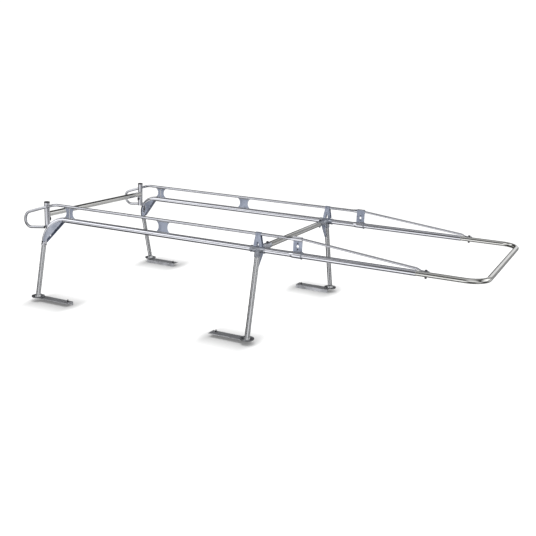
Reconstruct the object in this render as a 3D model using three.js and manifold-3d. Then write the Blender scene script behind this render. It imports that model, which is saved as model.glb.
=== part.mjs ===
// Over-cab ladder rack for a pickup truck, in millimetres.
// +X is the front of the truck, +Y its left side, +Z up. The rack stands on its four bed angles at Z = 0.
// Everything on the right side (-Y) is built once and mirrored to the left side.
import * as THREE from 'three';
import { mergeVertices } from 'three/addons/utils/BufferGeometryUtils.js';
import Module from 'manifold-3d';

const wasm = await Module();
wasm.setup();

// ---- driving dimensions ----
const GAP = 0.3; // clearance between pieces that touch
const RAIL_Y = 744; // rail centre from the middle of the truck
const RAIL_Z = 755; // rail centre above the ground
const RAIL_OD = 48.3;
const RAIL_ID = 42.8;
const SLIP_OD = 42.2; // tube that telescopes inside the rail tube
const SLIP_ID = 36.2;
const LEG_OD = 44.5;
const LEG_ID = 38.5;
const UPPER_Y = 751;
const UPPER_Z = 885;
const UPPER_OD = 25.4;
const UPPER_ID = 21.4;
const BRACE_OD = 20;

const REAR_X = -1894; // rear posts
const FRONT_LEG_X = 286; // top of the front legs
const BEND_R = 210; // bend of the rail into the rear leg
const BEND_END = 250; // where the bent rail stops, measured down the leg
const SPLAY = Math.atan(0.247); // legs spread outward going down
const REAR_LEAN = 21 / 740; // legs lean a little forward going down
const FRONT_LEAN = 16 / 740;

const FLARE_X = 575; // rail end is swaged out from here to the coupling
const COUPLING_X = 667;
const SLEEVE_END_X = 1596; // end of the front tube
const HOOP_X = 2107; // centre of the front bar
const HOOP_R = 150;
const BOLT_X = 1671; // brace bolt

const CROSSBAR_Z = 786; // rear crossbar
const POST_TOP = 893;
const POST_FOOT = 662;
const SPIGOT_TOP = 790;

const ANGLE_TOP = 35; // top face of the bed angle
const ANGLE_T = 5;
const ANGLE_FOLD_Y = 850;
const ANGLE_EDGE_Y = 941;
const ANGLE_L = 350;
const CUP_R = 59;
const CUP_H = 30;

// ---- materials, one per kind; every mesh takes its own copy ----
const LOOKS = {
  tube: { color: 0xc9ccd0, roughness: 0.28, metalness: 1.0 },
  plate: { color: 0x9298a2, roughness: 0.45, metalness: 1.0 },
  cast: { color: 0xa3a6a4, roughness: 0.5, metalness: 1.0 },
  steel: { color: 0x5c5e62, roughness: 0.35, metalness: 1.0 },
  black: { color: 0x18181a, roughness: 0.6, metalness: 0.0 },
};

const rack = new THREE.Group();
rack.name = 'ladder_rack';

function add(name, geometry, look) {
  const mesh = new THREE.Mesh(geometry, new THREE.MeshStandardMaterial(LOOKS[look]));
  mesh.name = name;
  rack.add(mesh);
}

// ---- solids and booleans ----
function toSolid(geometry) {
  const bare = geometry.clone();
  bare.deleteAttribute('normal');
  bare.deleteAttribute('uv');
  const merged = mergeVertices(bare, 1e-4);
  return new wasm.Manifold(new wasm.Mesh({
    numProp: 3,
    vertProperties: new Float32Array(merged.attributes.position.array),
    triVerts: new Uint32Array(merged.index.array),
  }));
}

function toGeometry(solid) {
  const mesh = solid.getMesh();
  const geometry = new THREE.BufferGeometry();
  geometry.setAttribute('position', new THREE.BufferAttribute(new Float32Array(mesh.vertProperties), 3));
  geometry.setIndex(new THREE.BufferAttribute(new Uint32Array(mesh.triVerts), 1));
  geometry.computeVertexNormals();
  return geometry;
}

const union = (...shapes) => shapes.map(toSolid).reduce((a, b) => a.add(b));
const cut = (solid, ...shapes) => shapes.map(toSolid).reduce((a, b) => a.subtract(b), solid);

function mirrored(geometry) {
  const flat = geometry.index ? geometry.toNonIndexed() : geometry.clone();
  flat.scale(1, -1, 1);
  const position = flat.attributes.position;
  for (let i = 0; i < position.count; i += 3) {
    const b = new THREE.Vector3().fromBufferAttribute(position, i + 1);
    const c = new THREE.Vector3().fromBufferAttribute(position, i + 2);
    position.setXYZ(i + 1, c.x, c.y, c.z);
    position.setXYZ(i + 2, b.x, b.y, b.z);
  }
  flat.deleteAttribute('normal');
  if (flat.attributes.uv) flat.deleteAttribute('uv');
  const merged = mergeVertices(flat, 1e-4);
  merged.computeVertexNormals();
  return merged;
}

// the same piece on the right (-Y) and on the left (+Y) side of the truck
function addPair(name, geometry, look) {
  add(`${name}_R`, geometry, look);
  add(`${name}_L`, mirrored(geometry), look);
}

// ---- paths ----
const V = (x, y, z) => new THREE.Vector3(x, y, z);

// corners of a polyline rounded with a radius; every arc gets its own stations
function rounded(corners, radius, perQuarter = 8) {
  const out = [corners[0].clone()];
  for (let i = 1; i < corners.length - 1; i += 1) {
    const r = Array.isArray(radius) ? radius[i - 1] : radius;
    const a = corners[i - 1].clone().sub(corners[i]).normalize();
    const b = corners[i + 1].clone().sub(corners[i]).normalize();
    const inner = a.angleTo(b);
    const turn = Math.PI - inner;
    const reach = r / Math.tan(inner / 2);
    const centre = a.clone().add(b).normalize().multiplyScalar(r / Math.sin(inner / 2)).add(corners[i]);
    const start = a.clone().multiplyScalar(reach).add(corners[i]).sub(centre);
    const end = b.clone().multiplyScalar(reach).add(corners[i]).sub(centre);
    const axis = start.clone().cross(end).normalize();
    const steps = Math.max(2, Math.round((turn / (Math.PI / 2)) * perQuarter));
    for (let k = 0; k <= steps; k += 1) {
      out.push(start.clone().applyAxisAngle(axis, (turn * k) / steps).add(centre));
    }
  }
  out.push(corners[corners.length - 1].clone());
  return out;
}

// a curve through given stations, one extrusion step for each
class StationCurve extends THREE.Curve {
  constructor(stations) {
    super();
    this.stations = stations;
  }

  getPoint(t, target = new THREE.Vector3()) {
    const last = this.stations.length - 1;
    const at = Math.min(Math.max(t, 0), 1) * last;
    const i = Math.min(Math.floor(at), last - 1);
    return target.lerpVectors(this.stations[i], this.stations[i + 1], at - i);
  }

  getUtoTmapping(u) {
    return u;
  }
}

function circle(radius, sides) {
  const points = [];
  for (let i = 0; i < sides; i += 1) {
    const a = (2 * Math.PI * i) / sides;
    points.push(new THREE.Vector2(radius * Math.cos(a), radius * Math.sin(a)));
  }
  return points;
}

// round tube along stations; a bore of 0 gives a solid bar
function tube(stations, outer, bore, sides = 20) {
  const shape = new THREE.Shape(circle(outer / 2, sides));
  if (bore > 0) shape.holes.push(new THREE.Path(circle(bore / 2, sides)));
  return new THREE.ExtrudeGeometry(shape, {
    steps: stations.length - 1,
    bevelEnabled: false,
    extrudePath: new StationCurve(stations),
  });
}

const bar = (from, to, diameter, sides = 20) => tube([from, to], diameter, 0, sides);

// closed profile of [radius, height] pairs turned about an axis through `at`
function turned(profile, at, axis, sides = 24) {
  const points = profile.map(([r, h]) => new THREE.Vector2(r, h));
  points.push(points[0].clone());
  const geometry = new THREE.LatheGeometry(points, sides);
  const spin = new THREE.Quaternion().setFromUnitVectors(V(0, 1, 0), axis.clone().normalize());
  geometry.applyQuaternion(spin);
  geometry.translate(at.x, at.y, at.z);
  return geometry;
}

function plate(points, thickness, basis, at, holes = []) {
  const shape = new THREE.Shape(points.map(([x, y]) => new THREE.Vector2(x, y)));
  holes.forEach((hole) => shape.holes.push(new THREE.Path(hole.map(([x, y]) => new THREE.Vector2(x, y)))));
  const geometry = new THREE.ExtrudeGeometry(shape, { depth: thickness, bevelEnabled: false, steps: 1 });
  geometry.translate(0, 0, -thickness / 2);
  geometry.applyMatrix4(basis);
  geometry.translate(at.x, at.y, at.z);
  return geometry;
}

function box(x0, x1, y0, y1, z0, z1) {
  const geometry = new THREE.BoxGeometry(x1 - x0, y1 - y0, z1 - z0);
  geometry.translate((x0 + x1) / 2, (y0 + y1) / 2, (z0 + z1) / 2);
  return geometry;
}

function hexBar(at, axis, flats, from, to) {
  const geometry = new THREE.CylinderGeometry(flats / Math.sqrt(3), flats / Math.sqrt(3), to - from, 6);
  geometry.translate(0, (from + to) / 2, 0);
  geometry.applyQuaternion(new THREE.Quaternion().setFromUnitVectors(V(0, 1, 0), axis));
  geometry.translate(at.x, at.y, at.z);
  return geometry;
}

const ring = (cx, cy, r, n = 16) => circle(r, n).map((p) => [p.x + cx, p.y + cy]);

// plate bases: XZ keeps x and z upright, YZ stands across the truck
const ALONG = new THREE.Matrix4().makeBasis(V(1, 0, 0), V(0, 0, 1), V(0, -1, 0));
const ACROSS = new THREE.Matrix4().makeBasis(V(0, 1, 0), V(0, 0, 1), V(1, 0, 0));

// point on a leg's axis, `s` down the leg from the rail centre
function onLeg(topX, lean, s) {
  return V(topX + lean * s, -(RAIL_Y + s * Math.sin(SPLAY)), RAIL_Z - s * Math.cos(SPLAY));
}

const legLength = (RAIL_Z - ANGLE_TOP) / Math.cos(SPLAY);

// ---- side rail: straight tube, swaged front end, bend into the rear leg, spigot for the post ----
const railCorners = [
  V(FLARE_X, -RAIL_Y, RAIL_Z),
  onLeg(REAR_X - 3, REAR_LEAN, 0),
  onLeg(REAR_X - 3, REAR_LEAN, BEND_END),
];
const railPath = rounded(railCorners, BEND_R, 10);
const railTube = tube(railPath, RAIL_OD, RAIL_ID);
const flare = turned([
  [22.2, -10], [24.7, -10], [28.4, 28], [28.4, 92], [24.45, 92], [24.45, 30],
], V(FLARE_X, -RAIL_Y, RAIL_Z), V(1, 0, 0), 20);
const spigotAt = (z) => V(REAR_X, -RAIL_Y, z);
const spigot = cut(
  toSolid(tube([spigotAt(POST_FOOT + 6), spigotAt(SPIGOT_TOP)], SLIP_OD, SLIP_ID)),
  tube(railPath, RAIL_OD - 2.2, 0),
);
const sideRail = toSolid(railTube).add(toSolid(flare)).add(spigot);
addPair('side_rail', toGeometry(sideRail), 'tube');

// ---- corner cheeks: two plates that sandwich the bend; the inner one has a tie-down slot ----
const UP_LEG = V(0, Math.sin(SPLAY), Math.cos(SPLAY));
const OUT_LEG = V(1, 0, 0).cross(UP_LEG);
const LEG_PLANE = new THREE.Matrix4().makeBasis(V(1, 0, 0), UP_LEG, OUT_LEG);
const CHEEK_T = 5;
function cheekOutline() {
  const points = [[-1700, -24], [-1700, 0]];
  const centre = [REAR_X - 3 + BEND_R, -BEND_R];
  for (let k = 1; k <= 8; k += 1) {
    const a = ((94 + (86 * k) / 8) * Math.PI) / 180;
    points.push([centre[0] + (BEND_R + 3) * Math.cos(a), centre[1] + (BEND_R + 3) * Math.sin(a)]);
  }
  points.push([REAR_X - 3, -BEND_END + 4], [REAR_X + 24, -BEND_END + 4]);
  return points;
}
function slot(x0, y0, x1, y1, r) {
  const a = Math.atan2(y1 - y0, x1 - x0);
  const points = [];
  for (let k = 0; k <= 6; k += 1) {
    const t = a + Math.PI / 2 + (Math.PI * k) / 6;
    points.push([x0 + r * Math.cos(t), y0 + r * Math.sin(t)]);
  }
  for (let k = 0; k <= 6; k += 1) {
    const t = a - Math.PI / 2 + (Math.PI * k) / 6;
    points.push([x1 + r * Math.cos(t), y1 + r * Math.sin(t)]);
  }
  return points;
}
const cheekOffset = RAIL_OD / 2 + GAP + CHEEK_T / 2;
const cheekAt = (side) => V(0, -RAIL_Y, RAIL_Z).addScaledVector(OUT_LEG, side * cheekOffset);
const tieSlot = slot(-1832, -98, -1846, -176, 9);
addPair('corner_cheek_outer', plate(cheekOutline(), CHEEK_T, LEG_PLANE, cheekAt(1)), 'plate');
addPair('corner_cheek_inner', plate(cheekOutline(), CHEEK_T, LEG_PLANE, cheekAt(-1), [tieSlot]), 'plate');

// ---- rear leg: telescopes up into the bent end of the rail ----
const below = (z) => box(-2400, 2400, -1200, 1200, z - 200, z);
const FLOOR_OF_CUP = ANGLE_TOP + 6;
function leg(topX, lean, from, outer, bore) {
  const body = toSolid(tube([onLeg(topX, lean, from), onLeg(topX, lean, legLength + 12)], outer, bore));
  return toGeometry(cut(body, below(FLOOR_OF_CUP + 2 * GAP)));
}
addPair('rear_leg', leg(REAR_X - 3, REAR_LEAN, 216, SLIP_OD, SLIP_ID), 'tube');

// ---- front leg, tee and crossbar sockets ----
addPair('front_leg', leg(FRONT_LEG_X, FRONT_LEAN, 27, LEG_OD, LEG_ID), 'tube');
const legBar = (diameter, from, to) => bar(
  onLeg(FRONT_LEG_X, FRONT_LEAN, from),
  onLeg(FRONT_LEG_X, FRONT_LEAN, to),
  diameter,
);
const acrossAt = (y) => V(FRONT_LEG_X, y, RAIL_Z);
const acrossBar = (y0, y1, diameter) => bar(acrossAt(y0), acrossAt(y1), diameter);
const TEE_L = 132;
const TEE_ARM_Y = -RAIL_Y + 60;
const teeBody = union(
  bar(V(FRONT_LEG_X - TEE_L / 2, -RAIL_Y, RAIL_Z), V(FRONT_LEG_X + TEE_L / 2, -RAIL_Y, RAIL_Z), 59),
  legBar(54, 0, 66),
  acrossBar(-RAIL_Y, TEE_ARM_Y, 57),
);
const tee = cut(
  teeBody,
  bar(V(0, -RAIL_Y, RAIL_Z), V(700, -RAIL_Y, RAIL_Z), RAIL_OD + 2 * GAP),
  legBar(LEG_OD + 2 * GAP, 0, 90),
  acrossBar(-RAIL_Y, TEE_ARM_Y + 10, RAIL_OD + 2 * GAP),
);
addPair('tee', toGeometry(tee), 'cast');

const SOCKET_END_Y = -540;
const SOCKET_BOLT_Y = -576;
const bore = (x, y, z0, z1, d) => bar(V(x, y, z0), V(x, y, z1), d, 12);
const socket = cut(
  toSolid(tube([
    V(FRONT_LEG_X, TEE_ARM_Y + GAP, RAIL_Z),
    V(FRONT_LEG_X, SOCKET_END_Y, RAIL_Z),
  ], 56, RAIL_OD + 2 * GAP)),
  bore(FRONT_LEG_X, SOCKET_BOLT_Y, RAIL_Z - 60, RAIL_Z + 60, 11),
);
addPair('crossbar_socket', toGeometry(socket), 'cast');

const midCrossbar = cut(
  toSolid(tube([acrossAt(-RAIL_Y + 27), acrossAt(RAIL_Y - 27)], RAIL_OD, RAIL_ID)),
  bore(FRONT_LEG_X, SOCKET_BOLT_Y, RAIL_Z - 60, RAIL_Z + 60, 11),
  bore(FRONT_LEG_X, -SOCKET_BOLT_Y, RAIL_Z - 60, RAIL_Z + 60, 11),
);
add('mid_crossbar', toGeometry(midCrossbar), 'tube');

// bolt through a tube of radius r at (x, y): hexagon head and washer on top, nut underneath
function throughBolt(x, y, z, above, under, shank) {
  const at = V(x, y, z);
  const up = V(0, 0, 1);
  return toGeometry(union(
    bar(V(x, y, z - under - 12), V(x, y, z + above + 5), shank, 12),
    turned([[0, above + GAP], [11, above + GAP], [11, above + 2.5], [0, above + 2.5]], at, up, 16),
    hexBar(at, up, 17, above + 2, above + 9),
    hexBar(at, up, 17, -under - 9, -under - GAP),
  ));
}
addPair('crossbar_bolt', throughBolt(FRONT_LEG_X, SOCKET_BOLT_Y, RAIL_Z, 28, 28, 10), 'steel');

const legGusset = cut(
  toSolid(plate([
    [-722, -10], [-632, -10], [-632, -38], [-738, -166], [-775, -166], [-760, -40],
  ], 6, ACROSS, V(FRONT_LEG_X, 0, RAIL_Z))),
  acrossBar(-900, -500, 57.6),
  legBar(54.6, 0, 66.3),
  legBar(LEG_OD + 2 * GAP, 60, 300),
);
const legGussetBody = legGusset.decompose().reduce((a, b) => (a.volume() > b.volume() ? a : b));
addPair('leg_gusset', toGeometry(legGussetBody), 'plate');

// ---- upper rail: flattened front end, gentle drop at the post, loop back to the corner ----
const PASS_Y = RAIL_Y + RAIL_OD / 2 + UPPER_OD / 2 + GAP;
const UPPER_FRONT_X = 671;
const upperCorners = [
  V(UPPER_FRONT_X, -UPPER_Y, UPPER_Z),
  V(-1790, -UPPER_Y, UPPER_Z),
  V(REAR_X + 20, -PASS_Y - 0.4, 860),
  V(-2117.5, -PASS_Y - 2, 780),
  V(-2112.5, -PASS_Y - 14, 648),
  V(-1885, -PASS_Y - 13, 674),
];
const upperStations = rounded(upperCorners, [160, 90, 70, 70], 8);
const flatStations = [0, 40, 80, 100, 120, 140].map((d) => V(UPPER_FRONT_X - d, -UPPER_Y, UPPER_Z));
const smooth = (t) => {
  const c = Math.min(Math.max(t, 0), 1);
  return c * c * (3 - 2 * c);
};

// squeezes a tube about its axis: `amount(x)` gives the share, then width y and height z factors
function squeezed(geometry, axisOf, amount, yFactor, zFactor) {
  const position = geometry.attributes.position;
  for (let i = 0; i < position.count; i += 1) {
    const x = position.getX(i);
    const share = amount(x);
    const [cy, cz] = axisOf(x);
    const y = cy + (position.getY(i) - cy) * (1 + (yFactor - 1) * share);
    const z = cz + (position.getZ(i) - cz) * (1 + (zFactor - 1) * share);
    position.setXYZ(i, x, y, z);
  }
  return geometry;
}
const upperPath = [...flatStations, ...upperStations.slice(1)];
const upperRail = squeezed(
  tube(upperPath, UPPER_OD, UPPER_ID, 14),
  () => [-UPPER_Y, UPPER_Z],
  (x) => smooth((x - (UPPER_FRONT_X - 140)) / 60),
  0.44,
  1.28,
);
addPair('upper_rail', toGeometry(cut(toSolid(upperRail), tube(railPath, RAIL_OD + 2 * GAP, 0))), 'tube');

// ---- hourglass gussets between the rails ----
function hourglass(x0, x1, waist, rib) {
  const z0 = RAIL_Z + RAIL_OD / 2 + GAP;
  const z1 = UPPER_Z - UPPER_OD / 2 - GAP;
  const mid = (x0 + x1) / 2;
  const half = (x1 - x0) / 2;
  const points = [];
  const steps = 10;
  for (const side of [1, -1]) {
    for (let k = 0; k <= steps; k += 1) {
      const t = side > 0 ? k / steps : 1 - k / steps;
      const w = waist / 2 + (half - waist / 2) * Math.abs(2 * t - 1) ** 2.4;
      points.push([mid + side * w, z0 + (z1 - z0) * t]);
    }
  }
  const web = plate(points, 6, ALONG, V(0, -(RAIL_Y + UPPER_Y) / 2, 0));
  if (!rib) return web;
  const y = -(RAIL_Y + UPPER_Y) / 2;
  return toGeometry(toSolid(web).add(toSolid(bar(V(mid, y, z0 + 1), V(mid, y, z1 - 1), 13, 12))));
}
addPair('rear_gusset', hourglass(-1690, -1572, 74, true), 'plate');
addPair('mid_gusset', hourglass(-693, -560, 98, false), 'plate');

// ---- saddle over the front leg: strap folded over the upper rail, legs spread onto the tee ----
const SADDLE_X = 290;
const saddleSide = plate([
  [-40, 0], [-15, 0], [-7, 62], [7, 62], [15, 0], [40, 0], [30, 150], [-30, 150],
], 60, ALONG, V(SADDLE_X, -RAIL_Y - 4, RAIL_Z));
const saddleStrap = cut(
  union(
    bar(V(SADDLE_X - 50, -UPPER_Y, UPPER_Z), V(SADDLE_X + 50, -UPPER_Y, UPPER_Z), UPPER_OD + 2 * GAP + 8),
    box(SADDLE_X - 50, SADDLE_X + 50, -UPPER_Y - 17, -UPPER_Y + 17, RAIL_Z, UPPER_Z),
  ),
  box(SADDLE_X - 60, SADDLE_X + 60, -UPPER_Y - 13, -UPPER_Y + 13, RAIL_Z - 10, UPPER_Z),
  bar(V(SADDLE_X - 60, -UPPER_Y, UPPER_Z), V(SADDLE_X + 60, -UPPER_Y, UPPER_Z), UPPER_OD + 2 * GAP),
  bar(V(0, -RAIL_Y, RAIL_Z), V(600, -RAIL_Y, RAIL_Z), 59 + 2 * GAP),
);
addPair('saddle', toGeometry(saddleStrap.intersect(toSolid(saddleSide))), 'plate');

// ---- end plate: ties the upper rail's flattened end to the rail, with a lightening hole ----
const END_PLATE_Y = -742;
const endPlate = union(
  plate([[593, 774], [UPPER_FRONT_X, 774], [UPPER_FRONT_X, 905], [593, 905]], 5, ALONG,
    V(0, END_PLATE_Y, 0), [ring(632, 826, 10.5)]),
  box(593, UPPER_FRONT_X, -UPPER_Y - 7, END_PLATE_Y + 2.5, 902, 906),
);
const railClear = turned([
  [0, -60], [24.45, -60], [24.45, -10], [25, -10],
  [28.7, 28], [28.7, 91.9], [30.8, 91.9], [30.8, 120], [0, 120],
], V(FLARE_X, -RAIL_Y, RAIL_Z), V(1, 0, 0), 20);
addPair('end_plate', toGeometry(cut(endPlate, railClear)), 'plate');

// ---- coupling ring and front tube ----
const couplingRing = turned([
  [24.45, 0], [30.5, 0], [30.5, 9], [24.45, 9],
], V(COUPLING_X + GAP, -RAIL_Y, RAIL_Z), V(1, 0, 0), 20);
addPair('coupling_ring', couplingRing, 'cast');
const frontTube = tube([
  V(COUPLING_X - 60, -RAIL_Y, RAIL_Z), V(SLEEVE_END_X, -RAIL_Y, RAIL_Z),
], RAIL_OD, RAIL_ID);
addPair('front_tube', frontTube, 'tube');

// ---- front hoop: one bent tube whose ends slide into the front tubes ----
const hoopStations = rounded([
  V(SLEEVE_END_X - 66, -RAIL_Y, RAIL_Z),
  V(HOOP_X, -RAIL_Y, RAIL_Z),
  V(HOOP_X, RAIL_Y, RAIL_Z),
  V(SLEEVE_END_X - 66, RAIL_Y, RAIL_Z),
], HOOP_R, 8);
const hoop = cut(
  toSolid(tube(hoopStations, SLIP_OD, SLIP_ID)),
  bore(BOLT_X, -RAIL_Y, RAIL_Z - 60, RAIL_Z + 60, 11),
  bore(BOLT_X, RAIL_Y, RAIL_Z - 60, RAIL_Z + 60, 11),
);
add('front_hoop', toGeometry(hoop), 'tube');

// ---- diagonal brace: round tube, pressed flat where it is bolted on top of the hoop ----
const FLAT_T = 6.4;
const flatZ = RAIL_Z + SLIP_OD / 2 + GAP + FLAT_T / 2;
const braceCorners = [
  V(UPPER_FRONT_X + 1.5, -RAIL_Y, 888),
  V(1602, -RAIL_Y, 791),
  V(1640, -RAIL_Y, flatZ),
  V(BOLT_X + 27, -RAIL_Y, flatZ),
];
const bracePath = rounded(braceCorners, [70, 70], 24);
const braceEnd = bracePath[bracePath.length - 1];
const braceMiddle = bracePath.slice(0, -1);
const braceStations = [
  ...braceMiddle,
  V(BOLT_X + 14, -RAIL_Y, flatZ),
  V(BOLT_X + 22, -RAIL_Y, flatZ),
  braceEnd,
];
function braceAxis(x) {
  const path = braceStations;
  const i = path.findIndex((p) => p.x >= x);
  if (i <= 0) return [-RAIL_Y, i === 0 ? path[0].z : flatZ];
  const t = (x - path[i - 1].x) / (path[i].x - path[i - 1].x);
  return [-RAIL_Y, path[i - 1].z + t * (path[i].z - path[i - 1].z)];
}
const braceTube = squeezed(
  tube(braceStations, BRACE_OD, 0, 14),
  braceAxis,
  (x) => smooth((x - 1592) / 48),
  1.5,
  FLAT_T / BRACE_OD,
);
addPair('brace', toGeometry(cut(
  toSolid(braceTube),
  bore(BOLT_X, -RAIL_Y, RAIL_Z, RAIL_Z + 80, 11),
)), 'tube');
const boltRise = flatZ + FLAT_T / 2 - RAIL_Z;
addPair('brace_bolt', throughBolt(BOLT_X, -RAIL_Y, RAIL_Z, boltRise, SLIP_OD / 2, 10), 'steel');

// ---- foot cups and bed angles ----
function foot(topX, lean, legOuter) {
  const end = onLeg(topX, lean, legLength);
  const cup = turned([
    [0, GAP], [47, GAP], [54, 3], [CUP_R, 11], [CUP_R, CUP_H], [CUP_R - 4.5, CUP_H],
    [CUP_R - 4.5, 12], [49, 7], [34, 6.3], [31, CUP_H + 8], [0, CUP_H + 8],
  ], V(end.x, end.y + 3, ANGLE_TOP), V(0, 0, 1), 28);
  const seat = cut(
    toSolid(bar(onLeg(topX, lean, legLength - 120), onLeg(topX, lean, legLength + 12), legOuter + 2 * GAP)),
    below(FLOOR_OF_CUP),
  );
  return toGeometry(toSolid(cup).subtract(seat));
}

function bedAngle(legX, boltX) {
  const x0 = legX - ANGLE_L;
  const x1 = legX;
  const r = 7;
  const profile = new THREE.Shape();
  profile.moveTo(-ANGLE_EDGE_Y, ANGLE_TOP);
  profile.lineTo(-ANGLE_EDGE_Y, ANGLE_TOP - ANGLE_T);
  profile.lineTo(-ANGLE_FOLD_Y - ANGLE_T, ANGLE_TOP - ANGLE_T);
  profile.lineTo(-ANGLE_FOLD_Y - ANGLE_T, 0);
  profile.lineTo(-ANGLE_FOLD_Y, 0);
  profile.lineTo(-ANGLE_FOLD_Y, ANGLE_TOP - r);
  for (let k = 1; k <= 4; k += 1) {
    const a = (Math.PI / 2) * (k / 4);
    profile.lineTo(-ANGLE_FOLD_Y - r + r * Math.cos(a), ANGLE_TOP - r + r * Math.sin(a));
  }
  const body = new THREE.ExtrudeGeometry(profile, { depth: ANGLE_L, bevelEnabled: false, steps: 1 });
  body.applyMatrix4(new THREE.Matrix4().makeBasis(V(0, 1, 0), V(0, 0, 1), V(1, 0, 0)));
  body.translate(x0, 0, 0);
  const boltY = -(ANGLE_FOLD_Y + ANGLE_EDGE_Y) / 2 + 8;
  return toGeometry(cut(
    toSolid(body),
    bore(boltX, boltY, 0, ANGLE_TOP + 20, 11),
    bar(V(boltX, -ANGLE_FOLD_Y - 20, 15), V(boltX, -ANGLE_FOLD_Y + 20, 15), 11, 12),
    bar(V((x0 + x1) / 2 + 10, -ANGLE_FOLD_Y - 20, 15), V((x0 + x1) / 2 + 10, -ANGLE_FOLD_Y + 20, 15), 11, 12),
  ));
}

// carriage bolt standing through the free end of the angle, nut below
function angleBolt(x) {
  const y = -(ANGLE_FOLD_Y + ANGLE_EDGE_Y) / 2 + 8;
  const at = V(x, y, ANGLE_TOP);
  return toGeometry(union(
    bar(V(x, y, ANGLE_TOP - 20), V(x, y, ANGLE_TOP + 22), 10, 12),
    hexBar(at, V(0, 0, 1), 17, GAP, 8),
    hexBar(at, V(0, 0, 1), 17, -ANGLE_T - 7, -ANGLE_T - GAP),
  ));
}
const REAR_FOOT_X = onLeg(REAR_X - 3, REAR_LEAN, legLength).x;
const FRONT_FOOT_X = onLeg(FRONT_LEG_X, FRONT_LEAN, legLength).x;
addPair('rear_foot_cup', foot(REAR_X - 3, REAR_LEAN, SLIP_OD), 'cast');
addPair('front_foot_cup', foot(FRONT_LEG_X, FRONT_LEAN, LEG_OD), 'cast');
addPair('front_bed_angle', bedAngle(FRONT_FOOT_X, FRONT_FOOT_X - ANGLE_L + 44), 'plate');
addPair('rear_bed_angle', bedAngle(REAR_FOOT_X + ANGLE_L, REAR_FOOT_X + ANGLE_L - 30), 'plate');
addPair('front_angle_bolt', angleBolt(FRONT_FOOT_X - ANGLE_L + 44), 'steel');
addPair('rear_angle_bolt', angleBolt(REAR_FOOT_X + ANGLE_L - 30), 'steel');

// ---- rear lift-out unit: two posts over the spigots, a crossbar between them, caps, T-handle screws ----
const SCREW_Z = 738;
const post = cut(
  toSolid(tube([spigotAt(POST_FOOT), spigotAt(POST_TOP)], RAIL_OD, RAIL_ID)),
  tube(railPath, RAIL_OD + 2 * GAP, 0),
  bar(V(REAR_X, -RAIL_Y, SCREW_Z), V(REAR_X, -RAIL_Y + 60, SCREW_Z), 10.6, 12),
);
const postBody = post.decompose().reduce((a, b) => (a.volume() > b.volume() ? a : b));
addPair('rear_post', toGeometry(postBody), 'tube');
addPair('post_cap', turned([
  [0, -12], [20.9, -12], [20.9, GAP], [26.5, GAP], [26.5, 5.5], [23.5, 8], [0, 8],
], V(REAR_X, -RAIL_Y, POST_TOP), V(0, 0, 1), 20), 'black');

const rearCrossbar = cut(
  toSolid(tube([V(REAR_X, -RAIL_Y + 8, CROSSBAR_Z), V(REAR_X, RAIL_Y - 8, CROSSBAR_Z)], RAIL_OD, RAIL_ID)),
  bar(V(REAR_X, -RAIL_Y, 700), V(REAR_X, -RAIL_Y, 850), RAIL_OD + 2 * GAP),
  bar(V(REAR_X, RAIL_Y, 700), V(REAR_X, RAIL_Y, 850), RAIL_OD + 2 * GAP),
);
const crossbarBody = rearCrossbar.decompose().reduce((a, b) => (a.volume() > b.volume() ? a : b));
add('rear_crossbar', toGeometry(crossbarBody), 'tube');

function lockHandle() {
  const tip = -RAIL_Y + SLIP_OD / 2 + GAP;
  const face = -RAIL_Y + RAIL_OD / 2 + 2 * GAP;
  return toGeometry(union(
    bar(V(REAR_X, tip, SCREW_Z), V(REAR_X, face + 22, SCREW_Z), 10, 12),
    turned([[0, 0], [9, 0], [9, 6], [7, 9], [7, 20], [0, 20]], V(REAR_X, face, SCREW_Z), V(0, 1, 0), 14),
    bar(V(REAR_X, face + 19, SCREW_Z - 19), V(REAR_X, face + 19, SCREW_Z + 19), 9, 10),
  ));
}
addPair('lock_handle', lockHandle(), 'black');

export default rack;
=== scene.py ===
# %% [markdown]
# # A ladder rack for a pickup, dressed around its frame
# The rack is a tube frame that stands on the side walls of a truck bed and
# reaches forward over the cab. Its solids come from a CAD model, which is
# loaded here as a fixed frame. Each piece is then made again with smooth
# bends, soft edges, weld beads and bolt heads, and rides on the body that
# its solid belongs to. The lift-out rear crossbar shows why that matters:
# when its joint moves, everything on it has to move along.

# %% Load the frame
import math

import bpy
import numpy as np
from mathutils import Matrix, Vector
from mathutils.geometry import tessellate_polygon


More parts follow.
